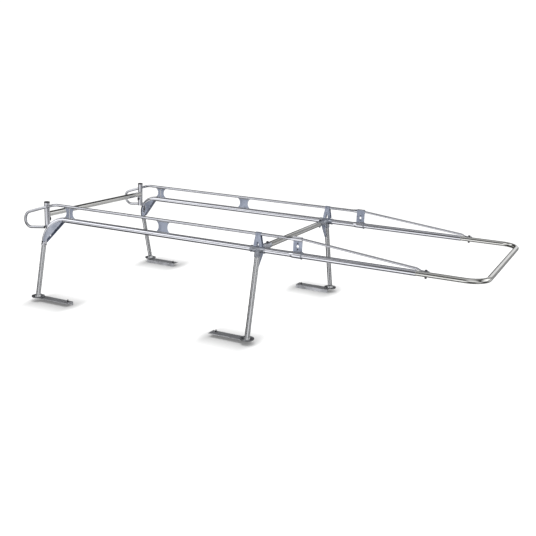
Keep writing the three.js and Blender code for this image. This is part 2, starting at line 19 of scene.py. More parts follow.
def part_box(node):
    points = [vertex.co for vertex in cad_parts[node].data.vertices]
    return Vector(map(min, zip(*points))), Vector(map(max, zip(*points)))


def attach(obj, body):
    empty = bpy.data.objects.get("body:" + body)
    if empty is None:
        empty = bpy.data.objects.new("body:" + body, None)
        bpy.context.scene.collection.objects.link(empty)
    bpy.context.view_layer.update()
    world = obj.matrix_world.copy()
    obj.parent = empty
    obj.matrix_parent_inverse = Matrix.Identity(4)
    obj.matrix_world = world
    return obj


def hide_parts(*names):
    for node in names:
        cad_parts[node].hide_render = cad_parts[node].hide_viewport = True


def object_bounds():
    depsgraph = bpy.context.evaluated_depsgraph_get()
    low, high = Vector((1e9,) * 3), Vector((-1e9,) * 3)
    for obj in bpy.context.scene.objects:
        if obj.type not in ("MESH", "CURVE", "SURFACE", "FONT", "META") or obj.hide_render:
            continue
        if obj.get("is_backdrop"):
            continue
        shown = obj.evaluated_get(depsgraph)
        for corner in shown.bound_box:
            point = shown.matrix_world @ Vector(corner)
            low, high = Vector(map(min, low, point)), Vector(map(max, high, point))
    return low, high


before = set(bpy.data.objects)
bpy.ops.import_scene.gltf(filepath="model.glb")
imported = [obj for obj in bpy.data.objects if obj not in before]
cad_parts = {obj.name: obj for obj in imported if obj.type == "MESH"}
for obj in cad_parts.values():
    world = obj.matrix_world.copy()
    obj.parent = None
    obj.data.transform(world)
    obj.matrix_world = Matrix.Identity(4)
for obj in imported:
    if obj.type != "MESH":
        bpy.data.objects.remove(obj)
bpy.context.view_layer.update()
MM = 0.001

# %% [markdown]
# ## Where things are
# Lengths in this file are millimetres until a mesh is made, because a rack
# is drawn in millimetres. The main lines are read from the boxes of the CAD
# solids, so the looks can't drift away from the frame. Only the right-hand
# side (-Y) is worked out, and the left is its mirror image.

# %% Main lines of the rack, read from the solids


def box_mm(node):
    """Lowest and highest corner of a CAD node, in millimetres."""
    low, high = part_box(node)
    return np.array(low) / MM, np.array(high) / MM


def middle(node):
    """Centre of a CAD node's box, in millimetres."""
    low, high = box_mm(node)
    return (low + high) / 2


def P(x, y, z):
    """A point, in millimetres."""
    return np.array([x, y, z], float)


X, Y, Z = np.eye(3)
RAIL_Y = -middle("front_tube_R")[1]
RAIL_Z = middle("front_tube_R")[2]
RAIL_R = (box_mm("front_tube_R")[1] - box_mm("front_tube_R")[0])[2] / 2
SLIP_R = (box_mm("front_hoop")[1] - box_mm("front_hoop")[0])[2] / 2
REAR_X = middle("rear_post_R")[0]
REAR_LEG_X = REAR_X - 3
FRONT_X = middle("mid_crossbar")[0]
CROSSBAR_Z = middle("rear_crossbar")[2]
HOOP_FRONT = box_mm("front_hoop")[1][0] - SLIP_R
SLEEVE_END = box_mm("front_tube_R")[1][0]
RING_X = box_mm("coupling_ring_R")[0][0]
BOLT_X = middle("brace_bolt_R")[0]
SOCKET_BOLT_Y = middle("crossbar_bolt_R")[1]
POST_TOP = box_mm("rear_post_R")[1][2]
POST_FOOT = box_mm("rear_post_R")[0][2]
UPPER_FRONT = box_mm("upper_rail_R")[1][0]
ANGLE_TOP = box_mm("rear_bed_angle_R")[1][2]
PLATE_LOW, PLATE_HIGH = box_mm("end_plate_R")
WALL, GAP = 2.75, 0.3
UPPER_R, UPPER_Y, UPPER_Z = 12.7, 751.0, 885.0
LEG_R = 22.25
SPLAY = math.atan(0.247)
REAR_LEAN, FRONT_LEAN = 21 / 740, 16 / 740
BEND_R, BEND_END = 210.0, 250.0
FLARE_X = 575.0
SCREW_Z = middle("lock_handle_R")[2]
LEG_LENGTH = (RAIL_Z - ANGLE_TOP) / math.cos(SPLAY)
print(f"rails {2 * RAIL_Y:.0f} mm apart, {RAIL_Z:.0f} mm up, tube {2 * RAIL_R:.1f} mm")


def on_leg(top_x, lean, down):
    """A point on a leg's axis: from the rail's centre, the given way down along the splayed leg."""
    return P(top_x + lean * down, -(RAIL_Y + down * math.sin(SPLAY)), RAIL_Z - down * math.cos(SPLAY))


# %% [markdown]
# ## Surfaces as arrays
# Nearly every piece here is a tube or something turned, so one idea makes
# them all: rings of points, joined to their neighbours by four-sided faces.
# A shape is the list of ring centres, a radius for each, and two directions
# across the ring. Rings may close on themselves at a wall's end, or run to a
# single point (a pole). A shell is a dictionary of points and faces, so
# several closed shells can be put together in one mesh.

# %% Rings into a closed shell
AROUND = 48


def unit(v):
    """Vectors scaled to length one."""
    return v / np.linalg.norm(v, axis=-1, keepdims=True)


def circling(n, first, second):
    """n points on the circle of radius one spanned by two directions, and their angles."""
    a = np.linspace(0, 2 * math.pi, n, endpoint=False)
    return np.cos(a)[:, None] * first + np.sin(a)[:, None] * second, a


def outward(shell):
    """The same shell with faces pointing out: its signed volume, summed over face fans, must be positive."""
    total = 0.0
    for faces, _ in shell["groups"]:
        p = shell["points"][faces]
        for k in range(1, faces.shape[1] - 1):
            total += np.einsum("ij,ij->", p[:, 0], np.cross(p[:, k], p[:, k + 1]))
    if total < 0:
        shell["groups"] = [(f[:, ::-1], uv[:, ::-1]) for f, uv in shell["groups"]]
    return shell


def skin(rings, looped=False, girth=None):
    """Faces over rings[along, around, 3]: point (i, j) joins (i, j+1), (i+1, j+1) and (i+1, j).
    looped joins the last ring to the first; otherwise a fan closes each end at its ring's centre.
    UV is metres along the rings' centres and metres around."""
    along, around = rings.shape[:2]
    centres = rings.mean(1)
    steps = np.linalg.norm(np.diff(np.concatenate([centres, centres[:1]]), axis=0), axis=1)
    run = np.concatenate([[0], np.cumsum(steps)]) * MM
    turn = np.linspace(0, 1, around + 1) * (girth or 2 * math.pi * 20) * MM
    i, j = np.meshgrid(np.arange(along if looped else along - 1), np.arange(around), indexing="ij")
    i, j = i.ravel(), j.ravel()
    i2, j2 = (i + 1) % along, (j + 1) % around
    quads = np.stack([i * around + j, i * around + j2, i2 * around + j2, i2 * around + j], 1)
    uv = np.stack([
        np.stack([run[i], turn[j]], 1), np.stack([run[i], turn[j + 1]], 1),
        np.stack([run[i + 1], turn[j + 1]], 1), np.stack([run[i + 1], turn[j]], 1),
    ], 1)
    points, groups = rings.reshape(-1, 3), [(quads, uv)]
    if not looped:
        first, k = len(points), np.arange(around)
        points = np.concatenate([points, centres[:1], centres[-1:]])
        base = (along - 1) * around
        start = np.stack([np.full(around, first), (k + 1) % around, k], 1)
        end = np.stack([np.full(around, first + 1), base + k, base + (k + 1) % around], 1)
        for fan in (start, end):
            flat = (points[fan] - points[fan[0, 0]]) * MM
            groups.append((fan, np.stack([flat[..., 0] + flat[..., 1], flat[..., 2]], -1)))
    return outward({"points": points, "groups": groups})


def joined(*shells):
    """Several shells as one, with the face numbers moved up."""
    points, groups, base = [], [], 0
    for s in shells:
        points.append(s["points"])
        groups += [(f + base, uv) for f, uv in s["groups"]]
        base += len(s["points"])
    return {"points": np.concatenate(points), "groups": groups}


def mirrored(shell):
    """The shell on the other side of the truck: y changes sign, so each face is walked the other way."""
    return {
        "points": shell["points"] * [1, -1, 1],
        "groups": [(f[:, ::-1], uv[:, ::-1]) for f, uv in shell["groups"]],
    }


# %% [markdown]
# ## Tubes, rods and turned pieces
# A bent tube keeps its size round a bend, so its line is straight runs and
# arcs. The ring at each station stands square to the line. A tube with a
# wall goes out along the outside, over a small lip, back along the inside
# and over the other lip. A turned piece is the same with a straight line.

# %% Lines with rounded corners


def corner_arc(before, corner, after, radius, steps):
    """An arc that touches both runs at a corner. Its centre lies on the corner's bisector, at radius /
    sin(half the corner's angle)."""
    a, b = unit(before - corner), unit(after - corner)
    half = math.acos(np.clip(a @ b, -1, 1)) / 2
    centre = corner + unit(a + b) * radius / math.sin(half)
    u, w = (unit(corner + d * radius / math.tan(half) - centre) for d in (a, b))
    sweep = math.acos(np.clip(u @ w, -1, 1))
    t = np.linspace(0, 1, steps + 1)[:, None]
    return centre + radius * (np.sin((1 - t) * sweep) * u + np.sin(t * sweep) * w) / math.sin(sweep)


def rounded(corners, radii, steps=20):
    """The line through the corners, with an arc at each inner one."""
    corners = np.array(corners, float)
    radii = np.broadcast_to(radii, len(corners) - 2)
    arcs = [corner_arc(*corners[k:k + 3], radius, steps) for k, radius in enumerate(radii)]
    return np.concatenate([corners[:1], *arcs, corners[-1:]])


def split_runs(path, longest=60.0):
    """The same line with long straight runs cut into even steps."""
    pieces = []
    for a, b in zip(path[:-1], path[1:]):
        n = max(1, int(np.linalg.norm(b - a) // longest))
        pieces.append(a + (b - a) * (np.arange(n) / n)[:, None])
    return np.concatenate(pieces + [path[-1:]])


def rings_on(path, radius, across, around=AROUND, squash=None):
    """A ring at each station: centre + radius * (cos * n + sin * b), with n the given direction made
    square to the line and b square to both. squash scales n and b, station by station."""
    way = unit(np.diff(path, axis=0))
    t = unit(np.concatenate([way[:1], way[:-1] + way[1:], way[-1:]]))
    n = unit(across - (t @ across)[:, None] * t)
    b = np.cross(t, n)
    a = np.linspace(0, 2 * math.pi, around, endpoint=False)
    r = np.broadcast_to(radius, len(path))[:, None, None]
    sn, sb = (1, 1) if squash is None else (squash[0][:, None, None], squash[1][:, None, None])
    cos, sin = np.cos(a)[None, :, None], np.sin(a)[None, :, None]
    return path[:, None] + r * (sn * cos * n[:, None] + sb * sin * b[:, None])


def drawn_in(path, lip):
    """The same line with its two end stations moved in by `lip`."""
    short = path.copy()
    short[0] += unit(path[1] - path[0]) * lip
    short[-1] += unit(path[-2] - path[-1]) * lip
    return short


def walled(path, outer, inner, across, lip=0.7, around=AROUND, squash=None):
    """A tube with a wall. Each end has a chamfer of `lip`, outside and inside."""
    path = np.array(path, float)
    outer = np.broadcast_to(outer, len(path)).astype(float)
    inner = np.broadcast_to(inner, len(path)).astype(float)
    short = drawn_in(path, lip)
    out = rings_on(short, outer, across, around, squash)
    back = rings_on(short, inner, across, around, squash)
    edge_out = rings_on(path, outer - lip, across, around, squash)
    edge_in = rings_on(path, inner + lip, across, around, squash)
    rings = np.concatenate([edge_out[:1], out, edge_out[-1:], edge_in[-1:], back[::-1], edge_in[:1]])
    return skin(rings, looped=True, girth=2 * math.pi * outer.max())


def rod(path, radius, across, lip=0.7, around=AROUND, squash=None):
    """A solid round bar with a small chamfer at each end."""
    path = np.array(path, float)
    radius = np.broadcast_to(radius, len(path)).astype(float)
    short = drawn_in(path, lip)
    body = rings_on(short, radius, across, around, squash)
    edge = rings_on(path, np.maximum(radius - lip, 0.1), across, around, squash)
    return skin(np.concatenate([edge[:1], body, edge[-1:]]), girth=2 * math.pi * radius.max())


def square_to(axis):
    """Two directions square to an axis and to each other."""
    axis = unit(np.array(axis, float))
    first = unit(np.cross(axis, Z if abs(axis[2]) < 0.9 else X))
    return first, np.cross(axis, first)


def turned(profile, at, axis, around=AROUND, looped=False, reach=None):
    """A profile of (radius, height) pairs carried round an axis. reach(angle) caps each ring's radius,
    which turns a round bar into a hexagon whose corners are cut by the profile's cone."""
    profile = np.array(profile, float)
    axis = unit(np.array(axis, float))
    circle, a = circling(around, *square_to(axis))
    r = np.maximum(profile[:, :1], 0.05) * np.ones(around)
    if reach is not None:
        r = np.minimum(r, reach(a))
    rings = np.array(at, float) + profile[:, 1, None, None] * axis + r[..., None] * circle
    return skin(rings, looped=looped, girth=2 * math.pi * profile[:, 0].max())


def hexagon(flats):
    """How far a hexagon reaches at each angle: half its width across flats over the cosine from the
    nearest flat's middle."""
    return lambda a: flats / 2 / np.cos((a + math.pi / 6) % (math.pi / 3) - math.pi / 6)


def along_x(stops):
    """Stations on the right-hand rail's axis."""
    return np.stack([P(x, -RAIL_Y, RAIL_Z) for x in stops])


def along_y(stops):
    """Stations on the middle crossbar's axis."""
    return np.stack([P(FRONT_X, y, RAIL_Z) for y in stops])


bend_corner, bend_stop = (on_leg(REAR_LEG_X, REAR_LEAN, down) for down in (0, BEND_END))
rail_corners = [P(FLARE_X, -RAIL_Y, RAIL_Z), bend_corner, bend_stop]
rail_line = split_runs(rounded(rail_corners, BEND_R, 28))
print("side rail line:", len(rail_line), "stations")

# %% [markdown]
# ## Plates
# A plate is an outline with holes, given a thickness. The flat faces are cut
# into triangles once, and the rim joins front and back. Its edges are
# rounded afterwards by a Bevel modifier, which also keeps the flats flat in
# the shading. Rims catch a thin line of light, and that reads as thickness.

# %% Plates from outlines


def plate(outline, thick, right, up, at, holes=()):
    """Points of the outline (a, b) go to at + a * right + b * up, half the thickness to each side."""
    loops = [np.array(o, float) for o in (outline, *holes)]
    flat = np.concatenate(loops)
    tris = np.array(tessellate_polygon([[Vector((*p, 0)) for p in o] for o in loops]))
    right, up = unit(np.array(right, float)), unit(np.array(up, float))
    base = np.array(at, float) + flat[:, :1] * right + flat[:, 1:] * up
    normal = np.cross(right, up) * thick / 2
    count = len(flat)
    points = np.concatenate([base + normal, base - normal])
    spun = np.cross(flat[tris[:, 1]] - flat[tris[:, 0]], flat[tris[:, 2]] - flat[tris[:, 0]])
    tris[spun < 0] = tris[spun < 0][:, ::-1]
    groups = [(tris, flat[tris] * MM), (tris[:, ::-1] + count, flat[tris[:, ::-1]] * MM)]
    start = 0
    for k, loop in enumerate(loops):
        n = len(loop)
        i = np.arange(n) + start
        j = (np.arange(n) + 1) % n + start
        x, y = loop[:, 0], loop[:, 1]
        ccw = np.sum(x * np.roll(y, -1) - np.roll(x, -1) * y) > 0
        if ccw != (k == 0):
            i, j = j, i
        side = np.stack([i + count, j + count, j, i], 1)
        uv = np.stack([flat[i], flat[j], flat[j] + thick, flat[i] + thick], 1) * MM
        groups.append((side, uv))
        start += n
    return outward({"points": points, "groups": groups})


def circle(cx, cy, r, n=32):
    """A hole: n points on a circle."""
    return np.array([cx, cy]) + r * circling(n, *np.eye(2))[0]


def soft_corners(corners, radius, steps=6):
    """A closed flat outline with its corners rounded."""
    c = np.array(corners, float)
    radii = np.broadcast_to(radius, len(c))
    after = np.roll(c, -1, axis=0)
    return np.concatenate([corner_arc(c[k - 1], c[k], after[k], r, steps) for k, r in enumerate(radii)])


def hexed(at, axis, flats, low, high):
    """A bolt head or nut: a hexagon whose top corners are cut by a 30 degree cone."""
    tip = flats / 2
    return turned([(tip - 1, low), (tip * 1.16, low + 0.6), (tip * 1.16, high - 1.6), (tip * 0.93, high),
                   (tip * 0.5, high)], at, axis, 48, reach=hexagon(flats))


def washer(at, axis, radius, low, high):
    """A round washer with softened rims."""
    rim = radius - 0.5
    return turned([(rim, low), (radius, low + 0.5), (radius, high - 0.5), (rim, high)], at, axis, 40)


# %% [markdown]
# ## Finishes
# The tube is drawn and polished aluminium: fine lines run along it, and
# hands, straps and the polishing wheel leave a patchy haze. The plates are
# flat mill stock, duller and a little blue. The fittings are cast, with a
# grain of their own. Three effects are shared by several finishes, so each
# is a node group with named sockets: drawn lines, haze and grain.

# %% A small helper for node trees


class Tree:
    """Short ways to add and join nodes in one tree."""

    def __init__(self, tree):
        self.tree, self.nodes, self.links = tree, tree.nodes, tree.links

    def add(self, kind, links=None, **settings):
        """A node of one kind. `links` maps an input to a value or to another node's output."""
        node = self.nodes.new(kind)
        for key, value in settings.items():
            setattr(node, key, value)
        for key, value in (links or {}).items():
            if isinstance(value, bpy.types.NodeSocket):
                self.links.new(value, node.inputs[key])
            else:
                node.inputs[key].default_value = value
        return node

    def math(self, operation, a, b=0.0, clamp=False):
        """One arithmetic step."""
        return self.add("ShaderNodeMath", {0: a, 1: b}, operation=operation, use_clamp=clamp).outputs[0]

    def spread(self, value, low, high, to_low=0.0, to_high=1.0):
        """Maps low..high to to_low..to_high, and holds the ends."""
        node = self.add("ShaderNodeMapRange", {"Value": value, "From Min": low, "From Max": high,
                                               "To Min": to_low, "To Max": to_high})
        return node.outputs["Result"]

    def mix(self, share, a, b):
        """A colour between a and b."""
        return self.add("ShaderNodeMix", {0: share, 6: (*a, 1.0), 7: (*b, 1.0)}, data_type="RGBA").outputs[2]


def emptied(owner):
    """The node tree of a material or a world, with nothing in it."""
    owner.use_nodes = True
    owner.node_tree.nodes.clear()
    return Tree(owner.node_tree)


def new_group(name, inputs, outputs):
    """An empty shader node group with named float inputs (and defaults) and float outputs."""
    tree = bpy.data.node_groups.new(name, "ShaderNodeTree")
    for key, value in inputs.items():
        tree.interface.new_socket(key, in_out="INPUT", socket_type="NodeSocketFloat").default_value = value
    for key in outputs:
        tree.interface.new_socket(key, in_out="OUTPUT", socket_type="NodeSocketFloat")
    t = Tree(tree)
    return t, t.add("NodeGroupInput"), t.add("NodeGroupOutput")


# %% Drawn lines: long streaks that follow the tube

lines, given, result = new_group("drawn_lines", {"Fineness": 900.0, "Stretch": 5.0}, ["Lines", "Bands"])
uv = lines.add("ShaderNodeUVMap")
parts = lines.add("ShaderNodeSeparateXYZ", {0: uv.outputs[0]})
along = lines.math("MULTIPLY", parts.outputs[0], given.outputs["Stretch"])
around = lines.math("MULTIPLY", parts.outputs[1], given.outputs["Fineness"])
fine = lines.add("ShaderNodeCombineXYZ", {0: along, 1: around})
slow, broad = lines.math("MULTIPLY", parts.outputs[0], 1.7), lines.math("MULTIPLY", parts.outputs[1], 60.0)
wide = lines.add("ShaderNodeCombineXYZ", {0: slow, 1: broad})
streak = lines.add("ShaderNodeTexNoise", {"Vector": fine.outputs[0], "Scale": 1.0, "Detail": 3.0})
band = lines.add("ShaderNodeTexNoise", {"Vector": wide.outputs[0], "Scale": 1.0, "Detail": 2.0})
lines.links.new(streak.outputs[0], result.inputs["Lines"])
lines.links.new(band.outputs[0], result.inputs["Bands"])

# %% Haze: soft patches of handling marks and dulling, in the object's own space

haze, given, result = new_group("handling_haze", {"Size": 9.0}, ["Haze", "Marks"])
place = haze.add("ShaderNodeTexCoord")
where = place.outputs["Object"]
patches = {"Vector": where, "Scale": given.outputs["Size"], "Detail": 5.0, "Roughness": 0.62}
cloud = haze.add("ShaderNodeTexNoise", patches)
speck = haze.add("ShaderNodeTexVoronoi", {"Vector": where, "Scale": 160.0})
haze.links.new(haze.spread(cloud.outputs[0], 0.38, 0.68), result.inputs["Haze"])
haze.links.new(haze.spread(speck.outputs[0], 0.10, 0.24, 1.0, 0.0), result.inputs["Marks"])

# %% Grain: the skin of a casting or of sheared plate

grain, given, result = new_group("metal_grain", {"Size": 700.0}, ["Grain", "Mottle"])
place = grain.add("ShaderNodeTexCoord")
where = place.outputs["Object"]
small = grain.add("ShaderNodeTexNoise", {"Vector": where, "Scale": given.outputs["Size"], "Detail": 4.0})
large = grain.add("ShaderNodeTexNoise", {"Vector": where, "Scale": 38.0, "Detail": 4.0})
grain.links.new(small.outputs[0], result.inputs["Grain"])
grain.links.new(large.outputs[0], result.inputs["Mottle"])
print("node groups:", [g.name for g in bpy.data.node_groups])

# %% [markdown]
# ## Building a finish from the groups
# Each finish has its own Principled shader. What is the same all over, such
# as being metal, is set on the shader's socket. What changes over the
# surface comes from the groups: the base colour between a clean and a dull
# tone, the roughness, and a very low bump.

# %% Finishes


def finish(name, clean, dull, rough, groups, bump, metal=1.0):
    """A material: colour and roughness slide from clean to dull where the groups say so."""
    material = bpy.data.materials.new(name)
    t = emptied(material)
    shader = t.add("ShaderNodeBsdfPrincipled", {"Metallic": metal})
    t.add("ShaderNodeOutputMaterial", {0: shader.outputs[0]})
    made = {}
    for group in groups:
        node = t.add("ShaderNodeGroup", node_tree=bpy.data.node_groups[group])
        made.update({key: node.outputs[key] for key in node.outputs.keys()})
    share = made.get("Haze", made.get("Mottle"))
    if "Bands" in made:
        share = t.math("MULTIPLY", t.math("ADD", share, made["Bands"]), 0.5)
    if "Marks" in made and metal:
        share = t.math("ADD", share, t.math("MULTIPLY", made["Marks"], 0.25), clamp=True)
    t.links.new(t.mix(share, clean, dull), shader.inputs["Base Color"])
    level = t.spread(share, 0.15, 0.85, rough[0], rough[1])
    if "Lines" in made:
        level = t.math("ADD", level, t.math("MULTIPLY", t.math("SUBTRACT", made["Lines"], 0.5), 0.10), clamp=True)
    t.links.new(level, shader.inputs["Roughness"])
    height = made.get("Lines", made.get("Grain"))
    node = t.add("ShaderNodeBump", {"Height": height, "Strength": bump, "Distance": 0.0004})
    t.links.new(node.outputs[0], shader.inputs["Normal"])
    return material


DRAWN = ("handling_haze", "drawn_lines")
CAST = ("metal_grain", "handling_haze")
POLISHED = finish("drawn_tube", (0.90, 0.91, 0.94), (0.74, 0.75, 0.79), (0.07, 0.18), DRAWN, 0.12)
POLISHED_WARM = finish("drawn_tube_warm", (0.89, 0.89, 0.85), (0.73, 0.73, 0.68), (0.09, 0.21),
                       DRAWN, 0.12)
# The thin upper rails get a darker copy of the drawn tube: painted shade that dims their reflections, on the same
# metal.
SHADED_THIN_TUBE = finish("thin_tube_painted_shade", (0.79, 0.80, 0.83), (0.57, 0.58, 0.61), (0.08, 0.20), DRAWN, 0.12)
SATIN = finish("satin_tube", (0.80, 0.81, 0.82), (0.64, 0.65, 0.64), (0.18, 0.32), DRAWN, 0.15)
PLATE = finish("mill_plate", (0.54, 0.59, 0.70), (0.38, 0.42, 0.51), (0.42, 0.58), CAST, 0.25)
# The outer cheeks get a lighter copy of the mill plate: painted light, the same stock shown brighter than the inner
# cheeks.
LIT_CHEEK_PLATE = finish("cheek_plate_painted_light", (0.66, 0.70, 0.79), (0.50, 0.54, 0.62), (0.42, 0.58), CAST, 0.25)
CASTING = finish("node_casting", (0.62, 0.65, 0.70), (0.40, 0.42, 0.46), (0.30, 0.48), CAST, 0.5)
CUP = finish("foot_casting", (0.36, 0.37, 0.38), (0.20, 0.20, 0.21), (0.28, 0.46), CAST, 0.5)
ANGLE = finish("bed_angle_plate", (0.70, 0.71, 0.73), (0.48, 0.49, 0.50), (0.46, 0.66), CAST, 0.3)
WELD = finish("weld_metal", (0.72, 0.73, 0.73), (0.42, 0.42, 0.42), (0.26, 0.5), CAST, 0.4)
ZINC = finish("dark_zinc", (0.17, 0.17, 0.18), (0.08, 0.08, 0.085), (0.22, 0.42), CAST, 0.3)
BLACK = finish("black_moulding", (0.012, 0.012, 0.013), (0.03, 0.03, 0.032), (0.38, 0.6), CAST, 0.4,
               metal=0.0)
print("finishes:", len(bpy.data.materials))

# %% [markdown]
# ## From shell to piece
# The last step is the same for all: put the arrays into a mesh, give it its
# UV map, mark edges sharper than a set angle so that flats stay flat, assign
# the finish, and let the piece ride on its body. A piece that takes over
# from CAD solids says so, and they are hidden.

# %% Pieces


def soften(obj, width, angle):
    """Rounds the edges that are sharper than `angle` degrees."""
    soft = obj.modifiers.new("soft_edges", "BEVEL")
    soft.width, soft.segments, soft.limit_method = width * MM, 2, "ANGLE"
    soft.angle_limit, soft.harden_normals = math.radians(angle), True


def piece(name, shell, material, body="frame", new=False, bevel=0.0):
    """Makes the mesh object, in metres, and puts it on its body. Unless it is `new`, it takes over from
    the CAD solid of its name."""
    mesh = bpy.data.meshes.new(name)
    faces = [row for f, _ in shell["groups"] for row in f.tolist()]
    mesh.from_pydata((shell["points"] * MM).tolist(), [], faces)
    layer = mesh.uv_layers.new(name="UVMap")
    layer.data.foreach_set("uv", np.concatenate([uv.reshape(-1, 2) for _, uv in shell["groups"]]).ravel())
    mesh.shade_smooth()
    mesh.set_sharp_from_angle(angle=math.radians(38))
    obj = bpy.data.objects.new(name, mesh)
    bpy.context.scene.collection.objects.link(obj)
    mesh.materials.append(material)
    if bevel:
        soften(obj, bevel, 35)
    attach(obj, body)
    if not new:
        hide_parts(name)
    return obj


def pair(name, shell, material, body="frame", **more):
    """The right-hand piece and its mirror image."""
    made = {"R": shell, "L": mirrored(shell)}
    return [piece(f"{name}_{side}", made[side], material, f"{body}_{side}" if body == "clamp_screw" else body, **more)
            for side in made]


# %% [markdown]
# ## Side rails
# One long tube on each side: straight over the bed, bent down at the rear
# into a stub for the leg, and swaged out at the front so that the front tube
# can slide in. The swage is a smooth growth of the radius along the line.
# A spigot, a shorter and thinner tube, stands on the bend and takes the post.

# %% Side rails and spigots


def ease(t):
    """Smooth step from 0 to 1."""
    t = np.clip(t, 0, 1)
    return t * t * (3 - 2 * t)


swage = np.linspace(RING_X - 0.3, FLARE_X - 12, 26)
full_line = np.concatenate([along_x(swage), rail_line[1:]])
x = full_line[:, 0]
rail_outer = RAIL_R + 4.25 * ease((x - FLARE_X + 6) / 34)
rail_inner = RAIL_R - WALL + 3.05 * ease((x - FLARE_X - 4) / 30)
leg_way = unit(on_leg(REAR_X, REAR_LEAN, 1) - on_leg(REAR_X, REAR_LEAN, 0))
bend_normal = unit(np.cross(P(-1, 0, 0), leg_way))
pair("side_rail", walled(full_line, rail_outer, rail_inner, bend_normal), POLISHED)
spigot_line = [P(REAR_X, -RAIL_Y, POST_FOOT + 6), P(REAR_X, -RAIL_Y, POST_FOOT + 70), P(REAR_X, -RAIL_Y, 790)]
pair("post_spigot", walled(spigot_line, SLIP_R, SLIP_R - 3, X, lip=1.2), SATIN, new=True)
print("rail radius from", rail_outer.min().round(2), "to", rail_outer.max().round(2))

# %% [markdown]
# ## Legs
# The legs lean outwards going down, so that they land on the bed's side
# walls. The rear leg slips up into the bent rail, which leaves a step where
# the thicker tube ends. A short collar and a set screw lock it there.

# %% Legs, collars and set screws


def leg_line(top_x, lean, start):
    """Stations from `start` down the leg to just inside the foot cup."""
    stops = np.linspace(start, LEG_LENGTH - 2.5, 10)
    return np.stack([on_leg(top_x, lean, s) for s in stops])


pair("rear_leg", walled(leg_line(REAR_LEG_X, REAR_LEAN, 216), SLIP_R, SLIP_R - 3, X), SATIN)
pair("front_leg", walled(leg_line(FRONT_X, FRONT_LEAN, 27), LEG_R, LEG_R - 3, X), SATIN)
collar_profile = [(SLIP_R + 0.05, -7), (RAIL_R + 0.2, -7), (RAIL_R + 1.7, -5.5), (RAIL_R + 1.7, 3),
                  (RAIL_R + 0.2, 5.5), (SLIP_R + 0.6, 6.5), (SLIP_R + 0.05, 5)]
collar = turned(collar_profile, bend_stop, leg_way, looped=True)
pair("leg_collar", collar, POLISHED, new=True)
screw_way = unit(P(0, -math.cos(SPLAY), math.sin(SPLAY)))
screw_at = on_leg(REAR_LEG_X, REAR_LEAN, BEND_END - 22) + screw_way * RAIL_R
set_screw = joined(washer(screw_at, screw_way, 8, -1, 1.6), hexed(screw_at, screw_way, 11, 1.4, 6.5))
pair("leg_set_screw", set_screw, ZINC, new=True)

# %% [markdown]
# ## Corner cheeks
# Two plates sandwich the bend and turn it into a stiff corner. Their curved
# edge follows the tube and their straight edge closes the corner. The inner
# one has a slot for a strap hook, with a pressed lip and a tie pin across.

# %% Corner cheeks
UP_LEG = P(0, math.sin(SPLAY), math.cos(SPLAY))
OUT_LEG = np.cross(X, UP_LEG)
CHEEK = 5.0
corner = P(0, -RAIL_Y, RAIL_Z)
arc = np.radians(94 + 86 * np.arange(1, 25) / 24)
bend_x = REAR_LEG_X + BEND_R


def cheek_outline(inset, pulled_in):
    """Curved edge `inset` mm inside the bend's middle line, straight edge pulled in by `pulled_in` mm."""
    reach = BEND_R - inset
    curve = np.stack([bend_x + reach * np.cos(arc), -BEND_R + reach * np.sin(arc)], 1)
    low = -BEND_END + 22
    ends = [[REAR_LEG_X + inset, low], [REAR_X + 26 - pulled_in, low]]
    return np.concatenate([[[-1700 - pulled_in, -24], [-1700 - pulled_in, -6 - inset / 4]], curve, ends])


outer_outline = cheek_outline(17, 0)
inner_outline = cheek_outline(8, 9)


def long_hole(a, b, r, n=12):
    """A slot's outline: two half circles of radius r joined by straight sides."""
    a, b = np.array(a, float), np.array(b, float)
    turn = math.atan2(*(b - a)[::-1])
    half = np.linspace(0, math.pi, n)
    first = a + r * np.stack([np.cos(turn + math.pi / 2 + half), np.sin(turn + math.pi / 2 + half)], 1)
    last = b + r * np.stack([np.cos(turn - math.pi / 2 + half), np.sin(turn - math.pi / 2 + half)], 1)
    return np.concatenate([first, last])


slot_top, slot_end = (-1830, -92), (-1856, -160)
tie_slot = long_hole(slot_top, slot_end, 9)
cheek_off = RAIL_R + GAP + CHEEK / 2
outer_face = corner + OUT_LEG * cheek_off
# the outer cheek wears the lighter copy of the plate finish, painted light
pair("corner_cheek_outer", plate(outer_outline, CHEEK, X, UP_LEG, outer_face), LIT_CHEEK_PLATE, bevel=0.8)
inner_face = corner - OUT_LEG * cheek_off
pair("corner_cheek_inner", plate(inner_outline, CHEEK, X, UP_LEG, inner_face, [tie_slot]), PLATE, bevel=0.8)
rim = long_hole(slot_top, slot_end, 10.6, 20)
rim_line = inner_face - OUT_LEG * (CHEEK / 2 + 0.4) + rim[:, :1] * X + rim[:, 1:] * UP_LEG
lip_rings = rings_on(np.concatenate([rim_line[-1:], rim_line, rim_line[:1]]), 2.0, OUT_LEG, 12)[1:-1]
pair("slot_lip", skin(lip_rings, looped=True, girth=12.6), POLISHED, new=True)
pin_at = inner_face + X * -1843 + UP_LEG * -126
pin = rod([pin_at + P(-13, 0, 0) - OUT_LEG * 5, pin_at + P(13, 0, 0) - OUT_LEG * 5], 2.6, Z, around=20)
pair("tie_pin", pin, ZINC, new=True)

# %% [markdown]
# ## Tee, sockets, crossbar and leg gusset
# The front leg, the rail and the crossbar meet in a cast tee. Each of its
# arms starts on the curved outside of the main sleeve, so its first ring
# isn't flat: every point on it is pushed along the arm until it meets the
# sleeve. The crossbar's socket has a bolt through it.

# %% A tube whose end is shaped to fit a round bar


def meet(start, way, towards, bar_point, bar_way, radius):
    """How far along `way` each start point must go to reach a round bar: a quadratic in the part of
    each vector that is square to the bar."""
    bar_way = unit(bar_way)
    q = start - bar_point
    q = q - (q @ bar_way)[..., None] * bar_way
    w = way - (way @ bar_way) * bar_way
    a, b = w @ w, q @ w
    c = np.einsum("...i,...i", q, q) - radius**2
    root = np.sqrt(np.maximum(b * b - a * c, 0))
    return (-b + towards * root) / a


